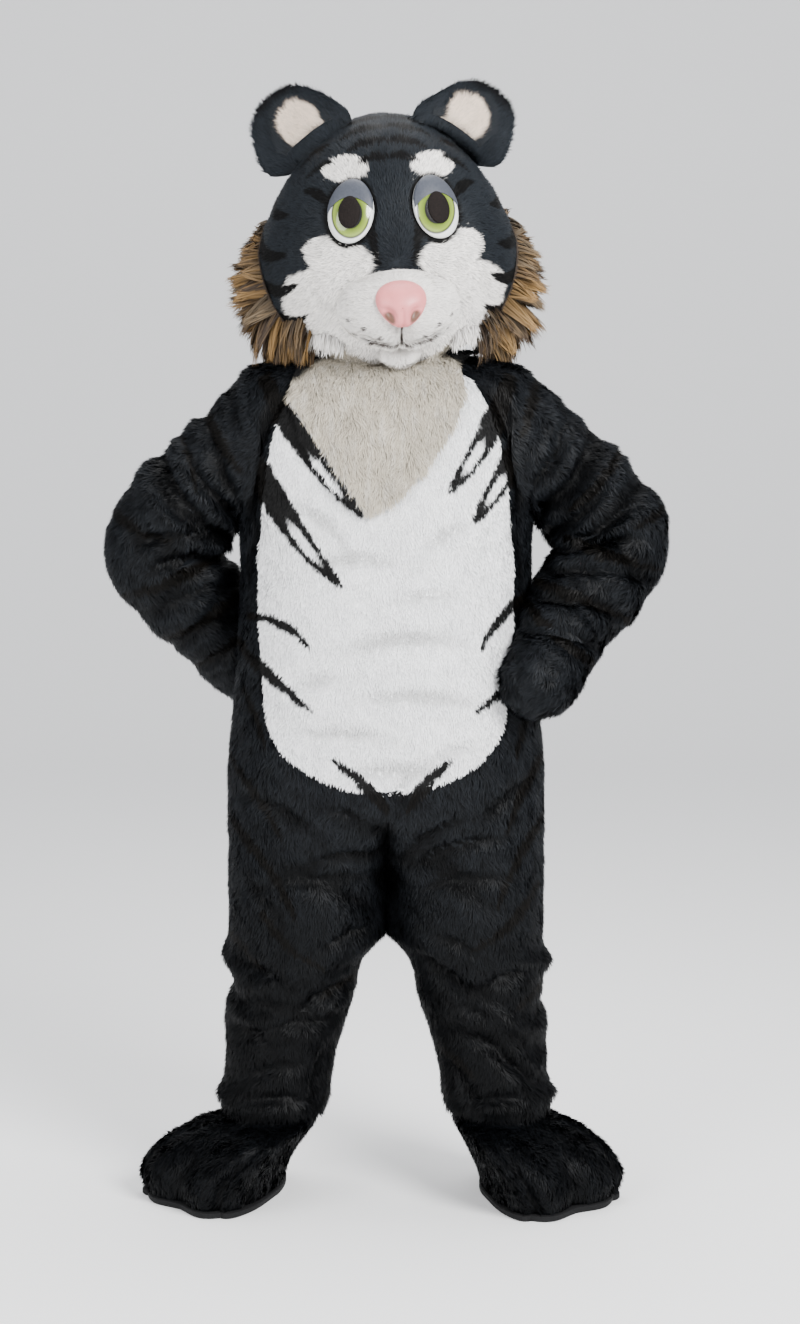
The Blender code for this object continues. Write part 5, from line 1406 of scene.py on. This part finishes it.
def face_look(points):
    """The head's stripes and its pale patches."""
    azimuth, elevation = head_place(points)
    ragged = 0.15 * ripple(points, 0.014, 31) + 0.08 * ripple(points, 0.006, 32)
    uneven = 0.035 * ripple(points, 0.02, 33)
    shrink = np.cos(np.radians(np.clip(elevation, -60, 70)))
    stripe, pale = np.zeros(azimuth.shape), np.zeros(azimuth.shape)
    for side in (RIGHT, LEFT):
        for mark in FACE_STRIPES:
            middle = (mark.azimuth0 + mark.azimuth1) / 2
            squeeze = np.cos(np.radians((mark.elevation0 + mark.elevation1) / 2))
            x = (azimuth * side - middle) * squeeze
            x0, x1 = (mark.azimuth0 - middle) * squeeze, (mark.azimuth1 - middle) * squeeze
            amount = band(x, elevation, x0, mark.elevation0, x1, mark.elevation1,
                          FACE_STRIPE_SCALE * mark.width, mark.bend, ragged=ragged, soft=0.6)
            stripe = np.maximum(stripe, amount)
        across = (azimuth * side - EYE.azimuth) / EYE.half_across
        away = np.hypot(across, (elevation - EYE.elevation) / EYE.half_up)
        stripe = np.maximum(stripe, smoothstep((EYE_RIM - away) / 0.06 + 0.5))
        for patch in PALE_PATCHES:
            x = (azimuth * side - patch.azimuth) * shrink
            across, up = slanted(x, elevation - patch.elevation, patch.lean)
            edge = 1 - np.hypot(across / patch.across, up / patch.up) + uneven
            pale = np.maximum(pale, smoothstep(edge / 0.10 + 0.5))
    return stripe, pale


def suit_look(points):
    # The second colour here is painted shade, darker towards the ankles.
    shins = smoothstep((SHIN_TOP - points[..., 2]) / SHIN_FADE)
    return body_stripes(points, BODY_STRIPES), SHIN_SHADE * shins


def arm_look(points):
    return body_stripes(points, ARM_STRIPES), 0 * points[..., 0]


def plain_look(points):
    return 0 * points[..., 0], 0 * points[..., 0]


def muzzle_look(points):
    azimuth, elevation = head_place(points)
    dark = np.zeros(azimuth.shape)
    for side in (RIGHT, LEFT):
        for across, up in WHISKER_DOTS:
            gap = np.hypot(azimuth * side - across, elevation - up)
            dark = np.maximum(dark, smoothstep((1.15 - gap) / 0.6))
    mouth = np.abs(elevation - mouth_line(azimuth))
    lips = smoothstep((1.1 - mouth) / 0.7) * smoothstep((MOUTH_HALF_WIDTH - np.abs(azimuth)) / 3)
    cleft = smoothstep((0.9 - np.abs(azimuth)) / 0.5) * smoothstep((NOSE.elevation - 4 - elevation) / 2)
    cleft = cleft * smoothstep((elevation - mouth_line(azimuth) + 0.5) / 0.5)
    return np.maximum(dark, np.maximum(lips, cleft)), 0 * dark


def mouth_line(azimuth):
    """The elevation of the mouth across the muzzle."""
    return MOUTH_ELEVATION + MOUTH_RISE * np.abs(azimuth) ** 1.5


def ear_look(points):
    """The ears' tips are black."""
    away = np.linalg.norm(points - HEAD_CENTRE, axis=-1)
    return smoothstep((away - EAR_TIP_DISTANCE) / EAR_TIP_FADE), 0 * away


def inner_ear_look(side):
    middle = ear_grid(side, np.zeros(1), np.full(1, INNER_PATCH_UP))[0]

    def look(points):
        away = np.linalg.norm((points - middle) * np.array([1, 0, 1]), axis=-1)
        edge = away - INNER_PATCH_RADIUS + 0.002 * ripple(points, 0.012, 44)
        return smoothstep(edge / 0.006), 0 * away

    return look


def bib_look(points):
    streaks = ripple(points * np.array([1, 1, 0.25]), 0.016, 41)
    azimuth = np.degrees(np.arctan2(np.abs(points[..., 0]), -points[..., 1]))
    dark = smoothstep((azimuth - BIB_DARK_AZIMUTH + 2.5 * ripple(points, 0.03, 43)) / 4 + 0.5)
    pale = np.maximum(BIB_PALE * smoothstep(streaks * 0.6 + 0.2), loops(points))
    return np.maximum(body_stripes(points, BODY_STRIPES), dark), pale


def dark_look(points):
    return 0 * points[..., 0] + 1, 0 * points[..., 0]


BLACK_FUR = fur_pair(
    "fur_black", "fur_black", CHARCOAL, PAINTED_SHADE_BLACK, STRIPE_BROWN,
    roots=0.28, tips=2.10, spread=1.4, patchy=0.50, sheen=0.0, rough=0.5, gloss=0.09,
)
BELLY_FUR = fur_pair(
    "fur_white", "fur_white", BELLY_WHITE, PAINTED_SHADE_GREY, STRIPE_BLACK,
    roots=0.66, tips=1.06, spread=0.24, patchy=0.16, sheen=0.05, rough=0.7, gloss=0.2,
)
BIB_FUR = fur_pair(
    "fur_cream", "fur_cream", BIB_CREAM, BELLY_WHITE, STRIPE_BLACK,
    roots=0.48, tips=1.16, spread=0.40, patchy=0.25, sheen=0.05, rough=0.7, gloss=0.2,
)
FACE_FUR = fur_pair(
    "fur_face", "fur_white", SLATE, FACE_WHITE, STRIPE_BLACK,
    roots=0.50, tips=1.22, spread=0.45, patchy=0.25, sheen=0.02, rough=0.55, gloss=0.10,
)
MUZZLE_FUR = fur_pair(
    "fur_muzzle", "fur_white", FACE_WHITE, SLATE, LIP_BROWN,
    roots=0.66, tips=1.08, spread=0.2, patchy=0.12, sheen=0.1, rough=0.7,
)
EAR_FUR = fur_pair(
    "fur_slate", "fur_slate", SLATE, CHARCOAL, STRIPE_BLACK,
    roots=0.45, tips=1.4, spread=0.7, sheen=0.02, gloss=0.10,
)
INNER_EAR_FUR = fur_pair(
    "fur_ear", "fur_cream", EAR_BEIGE, FACE_WHITE, SLATE,
    roots=0.50, tips=1.12, spread=0.3, sheen=0.05, gloss=0.15,
)
RUFF_FUR = fur_pair(
    "fur_tan", "fur_tan", RUFF_TAN, RUFF_GREY, RUFF_BROWN,
    roots=0.42, tips=1.22, spread=0.5, patchy=0.35, sheen=0.05, gloss=0.15,
)
FOOT_FUR = fur_pair(
    "fur_foot", "fur_black", FOOT_BLACK, PAINTED_SHADE_BLACK, STRIPE_BLACK,
    roots=0.28, tips=2.10, spread=1.4, patchy=0.50, sheen=0.0, rough=0.5, gloss=0.09,
)
LID_VINYL = grained_material("lid_vinyl", (0.030, 0.034, 0.045), (0.060, 0.066, 0.082), 260.0, 0.5, 0.3)


def make_suit():
    cloth("belly_cloth", "belly_panel", belly_grid(),
          SHORT._replace(count=60000, length=0.0085, clump=0.42), suit_look, BELLY_FUR, 101)
    for side, word in SIDE_NAMES.items():
        cloth(f"front_{word}_cloth", f"front_{word}", front_grid(side), SHORT._replace(count=62000),
              suit_look, BLACK_FUR, 110 + side)
        cloth(f"back_{word}_cloth", f"back_{word}", back_grid(side), SHORT._replace(count=49000),
              suit_look, BLACK_FUR, 120 + side)


def make_limbs():
    for side, word in SIDE_NAMES.items():
        cloth(f"sleeve_{word}_cloth", f"sleeve_{word}", sleeve_grid(side), LIMB._replace(count=61000),
              arm_look, BLACK_FUR, 130 + side, wrap=True)
        cloth(f"mitt_{word}_cloth", f"mitt_{word}", mitt_grid(side),
              LIMB._replace(count=15000, length=0.0170, clump=0.74), plain_look, BLACK_FUR, 140 + side,
              wrap=True)
        cloth(f"foot_{word}_cloth", f"foot_{word}", foot_grid(side),
              LIMB._replace(count=29000, length=0.014), plain_look, FOOT_FUR, 150 + side,
              wrap=True)


def padded(name, node, outer, inner, hair, look, fur, seed, wrap=False, shaded_hollow=None):
    """A fur-covered foam piece: its core, and the pile on it."""
    core = wall(name, outer.points, inner, wrap, fur.cloth)
    paint(core, look, shaded_hollow=shaded_hollow)
    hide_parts(node)
    grow(name + "_pile", outer, hair, look, fur, seed)


def make_head():
    halves = (("head_face", -90, 90, 50000, 160), ("head_back", 90, 270, 34000, 161))
    for node, first, last, count, seed in halves:
        outside = head_grid(first, last)
        inside = outside.points - outside.normals * HEAD_WALL
        # The inside of the head's shell is painted black, as shade.
        padded(node + "_shell", node, sunk(outside, FACE_PILE), inside,
               HEAD_HAIR._replace(count=count), face_look, FACE_FUR, seed, shaded_hollow=HEAD_CENTRE)
    muzzle, back = pad_grid(MUZZLE, rings=20, spokes=64, relief=muzzle_relief)
    padded("muzzle_pad", "muzzle", sunk(muzzle, PAD_PILE), back,
           HEAD_HAIR._replace(count=13000, length=0.0095, width=0.0018), muzzle_look, MUZZLE_FUR, 162,
           wrap=True)
    chin, back = pad_grid(CHIN)
    padded("chin_pad", "chin", sunk(chin, PAD_PILE), back, HEAD_HAIR._replace(count=3500, length=0.0120),
           plain_look, MUZZLE_FUR, 163, wrap=True)


def muzzle_relief(azimuth, elevation, share):
    """Two cheeks, the cleft between them and the smile line."""
    cleft = -0.010 * np.exp(-((azimuth / 2.2) ** 2)) * smoothstep((-27 - elevation) / 4)
    reach = smoothstep((MOUTH_HALF_WIDTH - np.abs(azimuth)) / 4)
    smile = -0.007 * np.exp(-(((elevation - mouth_line(azimuth)) / 1.3) ** 2)) * reach
    puff = 0.004 * np.exp(-(((np.abs(azimuth) - 12) / 8) ** 2) - ((elevation + 33) / 8) ** 2)
    return (cleft + smile + puff) * smoothstep((1 - share) / 0.1)


def make_ears():
    for side, word in SIDE_NAMES.items():
        make_ear(side, word)
        make_inner_ear(side, word)


def make_ear(side, word):
    """An ear: a core with fur on its front and on its back."""
    across = EAR_SIDE_SHARE * np.sin(np.linspace(-math.pi / 2, math.pi / 2, 33))[None, :]
    across, up = np.broadcast_arrays(across, np.sin(np.linspace(0, math.pi / 2, 25))[:, None])
    front = ear_grid(side, across, up)
    thick = EAR_EDGE + (EAR_THICKNESS - EAR_EDGE) * (1 - across**2) * (1 - up**2)
    back = front + np.array([0, 1, 0]) * thick[..., None]
    front[0], back[0] = head_project(front[0]), head_project(back[0])
    faces = []
    for points, facing in ((front, -1), (back, 1)):
        grid = make_grid(points, np.array(EAR_LEAN) * MIRROR[side], np.array([0.0, facing, 0.0]))
        faces.append(sunk(grid, EAR_PILE))
    core = wall(f"ear_{word}_shell", faces[0].points, faces[1].points, False, EAR_FUR.cloth)
    paint(core, ear_look)
    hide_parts(f"ear_{word}")
    hair = EAR_HAIR._replace(count=6500, length=0.0145)
    for grid, place, seed in zip(faces, ("front", "back"), (170, 180)):
        grow(f"ear_{word}_{place}_pile", grid, hair, ear_look, EAR_FUR, seed + side)


def make_inner_ear(side, word):
    """The pale pad inside an ear, rounded at its top."""
    across = np.linspace(-INNER_EAR_SIZE, INNER_EAR_SIZE, 21)[None, :]
    round_off = np.sqrt(1 - INNER_EAR_ROUNDING * (across / INNER_EAR_SIZE) ** 2)
    share = np.linspace(0, 1, 17)[:, None]
    up = INNER_EAR_LOW + (INNER_EAR_HIGH * round_off - INNER_EAR_LOW) * share
    across, up = np.broadcast_arrays(across, up)
    behind = ear_grid(side, across, up) - np.array([0, INNER_EAR_GAP, 0])
    front = behind - np.array([0, INNER_EAR_THICKNESS, 0])
    grid = make_grid(front, np.array(EAR_LEAN) * MIRROR[side], np.array([0.0, -1.0, 0.0]))
    padded(f"inner_ear_{word}_pad", f"inner_ear_{word}", grid, behind,
           EAR_HAIR._replace(count=4500, length=0.018, lean=24), inner_ear_look(side), INNER_EAR_FUR,
           190 + side)


def drape_grid(first, last, end_level, count, rows):
    """The drape from the head's opening to the chest or back, between two azimuths in degrees."""
    gap = math.degrees(SEAM_GAP / 2 / DRAPE_HALF_WIDTH)
    azimuth = np.radians(np.linspace(first + gap, last - gap, count))
    wrapped = (azimuth + math.pi) % (2 * math.pi) - math.pi
    wrapped = np.where(azimuth >= math.pi, wrapped, azimuth)
    ends = end_level(np.degrees(wrapped))
    elevation = opening_elevation(azimuth)
    edge, normals = head_skin(azimuth, elevation)
    top = edge - normals * (HEAD_WALL - FUR_WALL) / 2 - np.array([0, 0, 2 * PAD_GAP])
    start = suit_out(wrapped, DRAPE_LEVEL + 0 * ends, BIB_CLEARANCE + FUR_WALL)
    outer = [top + (start - top) * share for share in np.linspace(0, 1, 6)[:-1]]
    for share in np.linspace(0, 1, rows):
        level = DRAPE_LEVEL + (ends - DRAPE_LEVEL) * share
        outer.append(suit_out(wrapped, level, BIB_CLEARANCE + FUR_WALL))
    outer = np.array(outer)
    facing = unit(outer - np.array([0, 0, DRAPE_LEVEL - 0.1])) * np.array([1, 1, 0.3])
    return make_grid(outer, (0, 0, -1.0), facing)


def make_neck():
    bib = drape_grid(-90, 90, bib_ends, 65, 40)
    cloth("bib_cloth", "neck_bib", bib, BIB_HAIR._replace(count=17000), bib_look, BIB_FUR, 201)
    collar = drape_grid(90, 270, collar_ends, 65, 24)
    cloth("collar_cloth", "neck_collar", collar, SHORT._replace(count=14000), plain_look, BLACK_FUR, 202)


def ruff_grid(side, scale):
    """A cheek ruff's outside, at a share of its full reach."""
    share = np.linspace(0, 1, 61)
    degrees = RUFF_SECTIONS[0].elevation * (1 - share) + RUFF_SECTIONS[-1].elevation * share
    middle, half_across, reach, droop = columns_at(RUFF_SECTIONS, degrees)
    lock = (share * RUFF_LOCKS) % 1.0
    reach = reach * (1 - RUFF_LOCK_DEPTH * (1 - lock)) * scale
    across = np.linspace(-1, 1, 25)
    azimuth = np.radians(middle[:, None] + half_across[:, None] * across) * side
    elevation = np.radians(degrees)[:, None] + 0 * azimuth
    surface, normals = head_skin(azimuth, elevation)
    back = surface + normals * PAD_GAP
    away = unit((surface - HEAD_CENTRE) * np.array([1, 1, 0]))
    droop = droop + RUFF_EXTRA_DROOP[side] * share
    away = unit(away - np.array([0, 0, 1]) * droop[:, None, None])
    height = PAD_EDGE + reach[:, None] * (1 - np.abs(across) ** RUFF_ROUNDING)
    front = back + away * height[..., None]
    grid = make_grid(front, away, away)
    return grid._replace(nap=away), back, reach


def grow_locks(name, grid, reach, count, fur, seed, mottled=1):
    """Long fur on a grid: each blade leads to the tip of the nearest of its locks. mottled is how far its
    locks differ in colour."""
    hair = LOCK._replace(count=count)
    spots, places = Sample(grid, count, seed), Sample(grid, RUFF_LOCK_COUNT, seed + 1)
    middle, away = places.root, unit(places.of(grid.nap))
    length = places.of(np.repeat(reach[:, None, None], grid.points.shape[1], axis=1))[:, 0]
    low = smoothstep((LOW_LOCK_HEIGHT - middle[:, 2]) / LOW_LOCK_SPAN)
    rim = smoothstep((RIM_LOCK_HEIGHT - middle[:, 2]) / RIM_LOCK_SPAN)
    away = away + places.rng.normal(0, 0.16, away.shape)
    away[:, 2] -= LOCK_FALL + LOW_LOCK_FALL * low + RIM_LOCK_FALL * rim
    away = unit(away)
    length = LOCK_REACH * length * (1 + RIM_LOCK_STRETCH * rim)
    tips = middle + away * (length * places.rng.uniform(0.8, 1.1, RUFF_LOCK_COUNT))[:, None]
    nearest = np.linalg.norm(spots.root[:, None] - middle[None], axis=-1).argmin(axis=1)
    gather = tips[nearest] - spots.root + spots.rng.normal(0, 0.0035, spots.root.shape)
    gather *= spots.rng.uniform(0.80, 1.04, hair.count)[:, None]
    brown = places.rng.uniform(0, 1, RUFF_LOCK_COUNT) ** 1.5
    grey = places.rng.uniform(0, 1, RUFF_LOCK_COUNT)
    brown = mottled * np.clip(brown[nearest] + spots.rng.normal(0, 0.18, hair.count), 0, 1)
    grey = mottled * np.clip(grey[nearest] + spots.rng.normal(0, 0.15, hair.count), 0, 1)
    normal, heading = unit(spots.of(grid.normals)), unit(gather)
    return hair_mesh(name, spots, normal, heading, hair, lambda points: (brown, grey), fur, gather=gather)


def rim_grid(side, locks):
    """The strip of the head's rim where a kind of locks is rooted."""
    azimuth = np.radians(np.linspace(*locks.azimuths, 25)) * side
    rise = np.radians(np.linspace(*locks.rises, 12))[:, None]
    elevation = opening_elevation(azimuth) + rise
    surface, normals = head_skin(azimuth + 0 * elevation, elevation)
    grid = make_grid(surface + normals * PAD_GAP, normals, normals)
    return grid._replace(nap=normals), np.full(len(rise), locks.reach)


def make_ruffs():
    for side, word in SIDE_NAMES.items():
        grid, back, reach = ruff_grid(side, RUFF_CORE)
        core = wall(f"ruff_{word}_core", grid.points, back, False, RUFF_FUR.cloth)
        # The core under the locks gets their brown, darkened by painted shade as at their roots.
        paint(core, dark_look, root=0.1)
        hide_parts(f"ruff_{word}")
        grow_locks(f"ruff_{word}_hair", grid, reach / RUFF_CORE, 4600, RUFF_FUR, 210 + side)
        grow_locks(f"ruff_{word}_rim_hair", *rim_grid(side, RIM_TAN), RIM_TAN.blades, RUFF_FUR, 214 + side)
        grow_locks(f"jaw_{word}_rim_hair", *rim_grid(side, RIM_WHITE), RIM_WHITE.blades, MUZZLE_FUR,
                   218 + side, mottled=0)


def make_eyes():
    for side, word in SIDE_NAMES.items():
        ring, back = pad_grid(EYE, side, rings=18, spokes=72)
        eye = wall(f"eye_{word}_dome", ring.points, back, True, eye_material(side))
        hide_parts(f"eye_{word}")
        ring, back = pad_grid(PUPIL, side, under=EYE, rings=8, spokes=40)
        pupil = wall(f"pupil_{word}_mesh", ring.points, back, True, mesh_material())
        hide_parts(f"pupil_{word}")
        make_lid(side, word)


def make_lid(side, word):
    """A soft lid over the upper part of an eye's dome, its lower edge arched."""
    across = np.linspace(-0.97, 0.97, 41)[None, :]
    low, high = LID_LOW - LID_ARCH * across**2, 0.985 * np.sqrt(1 - across**2)
    up = low + (high - low) * np.linspace(0, 1, 13)[:, None]
    azimuth = np.radians(EYE.azimuth * side + EYE.half_across * across + 0 * up)
    elevation = np.radians(EYE.elevation + EYE.half_up * up)
    dome = PAD_GAP + PAD_EDGE + profile(EYE, np.hypot(across, up))
    surface, normals = head_skin(azimuth, elevation)
    edge = np.sin(np.linspace(0.25, 1, 13) * math.pi / 2)[:, None]
    layers = (dome + LID_GAP + LID_THICKNESS * edge, dome + LID_GAP)
    outer, inner = (surface + normals * layer[..., None] for layer in layers)
    lid = wall(f"eye_{word}_lid", outer, inner, False, LID_VINYL)
    lid.data.shade_smooth()


def eye_material(side):
    """Glossy plastic with an iris: rings of colour about the eye's middle."""
    material, tree, shader = new_material(f"eye_{SIDE_NAMES[side]}")
    middle = stand(head_form(np.radians(EYE.azimuth * side), np.radians(EYE.elevation - 1.5)))
    steps = (("SUBTRACT", tuple(float(x) for x in middle)), ("MULTIPLY", (1.15, 0.3, 0.9)))
    place = object_place(tree)
    for operation, value in steps:
        place = add_node(tree, "ShaderNodeVectorMath", {0: place, 1: value}, operation=operation).outputs[0]
    length = add_node(tree, "ShaderNodeVectorMath", {0: place}, operation="LENGTH").outputs["Value"]
    ramp = add_node(tree, "ShaderNodeValToRGB", {"Fac": calculate(tree, "MULTIPLY", length, 18.0)})
    elements = ramp.color_ramp.elements
    while len(elements) < len(EYE_RINGS):
        elements.new(0.5)
    for element, (position, colour) in zip(elements, EYE_RINGS):
        element.position = position
        element.color = (*colour, 1.0)
    set_inputs(tree, shader, {"Base Color": ramp.outputs[0], "Roughness": 0.18, "Coat Weight": 0.6})
    return material


def mesh_material():
    """Dark see-through mesh, with its holes as spots."""
    material, tree, shader = new_material("eye_mesh")
    holes = add_node(tree, "ShaderNodeTexVoronoi", {"Vector": object_place(tree), "Scale": 700.0})
    amount = calculate(tree, "MULTIPLY", holes.outputs["Distance"], 1.2, clamp=True)
    colour = mix_colours(tree, amount, (0.002, 0.0015, 0.0015), (0.012, 0.009, 0.008))
    set_inputs(tree, shader, {"Base Color": colour, "Roughness": 0.8, "Specular IOR Level": 0.1})
    return material


def nose_relief(azimuth, elevation, share):
    """Nostrils that curl in from the sides, and the groove between them."""
    groove = np.exp(-((azimuth / 1.0) ** 2)) * smoothstep((NOSE.elevation + 1 - elevation) / 3)
    return -0.010 * nostrils(azimuth, elevation) - 0.004 * groove


def make_nose():
    ring, back = pad_grid(NOSE, under=MUZZLE, rings=20, spokes=80, relief=nose_relief, narrow=0.42)
    material, tree, shader = new_material("nose_vinyl")
    grain = noise(tree, object_place(tree), 60.0, 5.0)
    pinks = (tuple(min(1, x * share) for x in NOSE_PINK) for share in (0.85, 1.12))
    pink = mix_colours(tree, grain, *pinks)
    colour = mix_colours(tree, fur_channels(tree)[0]["Red"], pink, NOSTRIL_BROWN)
    set_inputs(tree, shader, {"Base Color": colour, "Roughness": 0.42,
                              "Normal": bump(tree, grain, 0.25, 0.001)})
    nose = wall("nose_pad", ring.points, back, True, material)
    paint(nose, nose_look)
    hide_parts("nose")


def nose_look(points):
    azimuth, elevation = head_place(points)
    return smoothstep(nostrils(azimuth, elevation) * 2.4 - 0.7), 0 * azimuth


def nostrils(azimuth, elevation):
    """From 0 to 1, how deep in a nostril places lie: a slanting oval on each side."""
    x, y = np.abs(azimuth) - 4.4, elevation - NOSE.elevation + 1.8
    along, across = x * 0.77 + y * 0.64, y * 0.77 - x * 0.64
    return np.exp(-((along / 2.8) ** 2) - ((across + 0.08 * along**2) / 1.6) ** 2)


def make_soles():
    dark, light = (0.0030, 0.0030, 0.0033), (0.0080, 0.0080, 0.0088)
    material = grained_material("sole_rubber", dark, light, 220.0, 0.8, 0.2)
    for side, word in SIDE_NAMES.items():
        edge = foot_ring(side, FOOT_SECTIONS[0], SOLE_SPREAD)
        inner = foot_ring(side, FOOT_SECTIONS[0], SOLE_SPREAD - 0.003)
        rings = ((inner, 0.0), (edge, 0.003), (edge, SOLE_THICKNESS - 0.002), (inner, SOLE_THICKNESS))
        points = np.array([ring for ring, _ in rings])
        points[..., 2] = np.array([height for _, height in rings])[:, None]
        count = len(edge)
        faces = grid_faces(len(rings), count, True, 0)
        faces += [list(range(count)), list(range(3 * count, 4 * count))[::-1]]
        sole = add_piece(f"sole_{word}_rubber", points.reshape(-1, 3), faces, material)
        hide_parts(f"sole_{word}")


# The studio.
CAMERA_DISTANCE, CAMERA_HEIGHT = 4.5, 1.30
LENS, SHIFT_X, SHIFT_Y = 69.13, 0.0106, -0.1558


def make_camera():
    camera = bpy.data.cameras.new("camera")
    camera.sensor_width = 36
    camera.lens = LENS
    camera.shift_x, camera.shift_y = SHIFT_X, SHIFT_Y
    placed = bpy.data.objects.new("camera", camera)
    placed.location = (0, -CAMERA_DISTANCE, CAMERA_HEIGHT - HOLD_HEIGHT)
    placed.rotation_euler = (math.pi / 2, 0, 0)
    bpy.context.scene.collection.objects.link(placed)
    bpy.context.scene.camera = placed


def make_light(name, size, energy, place, target, colour=(1, 1, 1)):
    light = bpy.data.lights.new(name, "AREA")
    light.shape = "DISK"
    light.size = size
    light.energy = energy
    light.color = colour
    placed = bpy.data.objects.new(name, light)
    placed.location = place
    way = mathutils.Vector(target) - mathutils.Vector(place)
    placed.rotation_euler = way.to_track_quat("-Z", "Y").to_euler()
    bpy.context.scene.collection.objects.link(placed)


def make_studio():
    make_light("key", 2.2, 470, (2.4, -3.5, 1.7), (0, 0, -0.45))
    make_light("fill", 3.0, 165, (-3.0, -3.2, 0.9), (0, 0, -0.45))
    make_light("top", 2.6, 110, (0, 0.6, 2.8), (0, 0, -0.2))
    world = bpy.data.worlds.new("studio")
    world.use_nodes = True
    background = world.node_tree.nodes["Background"]
    background.inputs["Color"].default_value = (0.93, 0.95, 1.0, 1.0)
    background.inputs["Strength"].default_value = 0.75
    bpy.context.scene.world = world
    width, front, back, rise, radius = 30.0, -12.0, 9.0, 9.0, 3.0
    outline = [(front, 0.0)]
    for k in range(17):
        angle = k / 16 * math.pi / 2
        outline.append((back - radius + radius * math.sin(angle), radius - radius * math.cos(angle)))
    outline.append((back, rise))
    points = [(x, y, z - HOLD_HEIGHT) for y, z in outline for x in (-width / 2, width / 2)]
    faces = [(2 * k, 2 * k + 1, 2 * k + 3, 2 * k + 2) for k in range(len(outline) - 1)]
    mesh = bpy.data.meshes.new("studio_floor")
    mesh.from_pydata(points, [], faces)
    mesh.shade_smooth()
    material, tree, shader = new_material("studio_floor")
    set_inputs(tree, shader, {"Base Color": (0.86, 0.86, 0.86, 1.0), "Roughness": 0.9,
                              "Emission Color": (1.0, 1.0, 1.0, 1.0), "Emission Strength": 0.22})
    mesh.materials.append(material)
    floor = bpy.data.objects.new("studio_floor", mesh)
    bpy.context.scene.collection.objects.link(floor)


def main():
    make_camera()
    make_studio()
    make_suit()
    make_limbs()
    make_head()
    make_ears()
    make_neck()
    make_ruffs()
    make_eyes()
    make_nose()
    make_soles()


main()
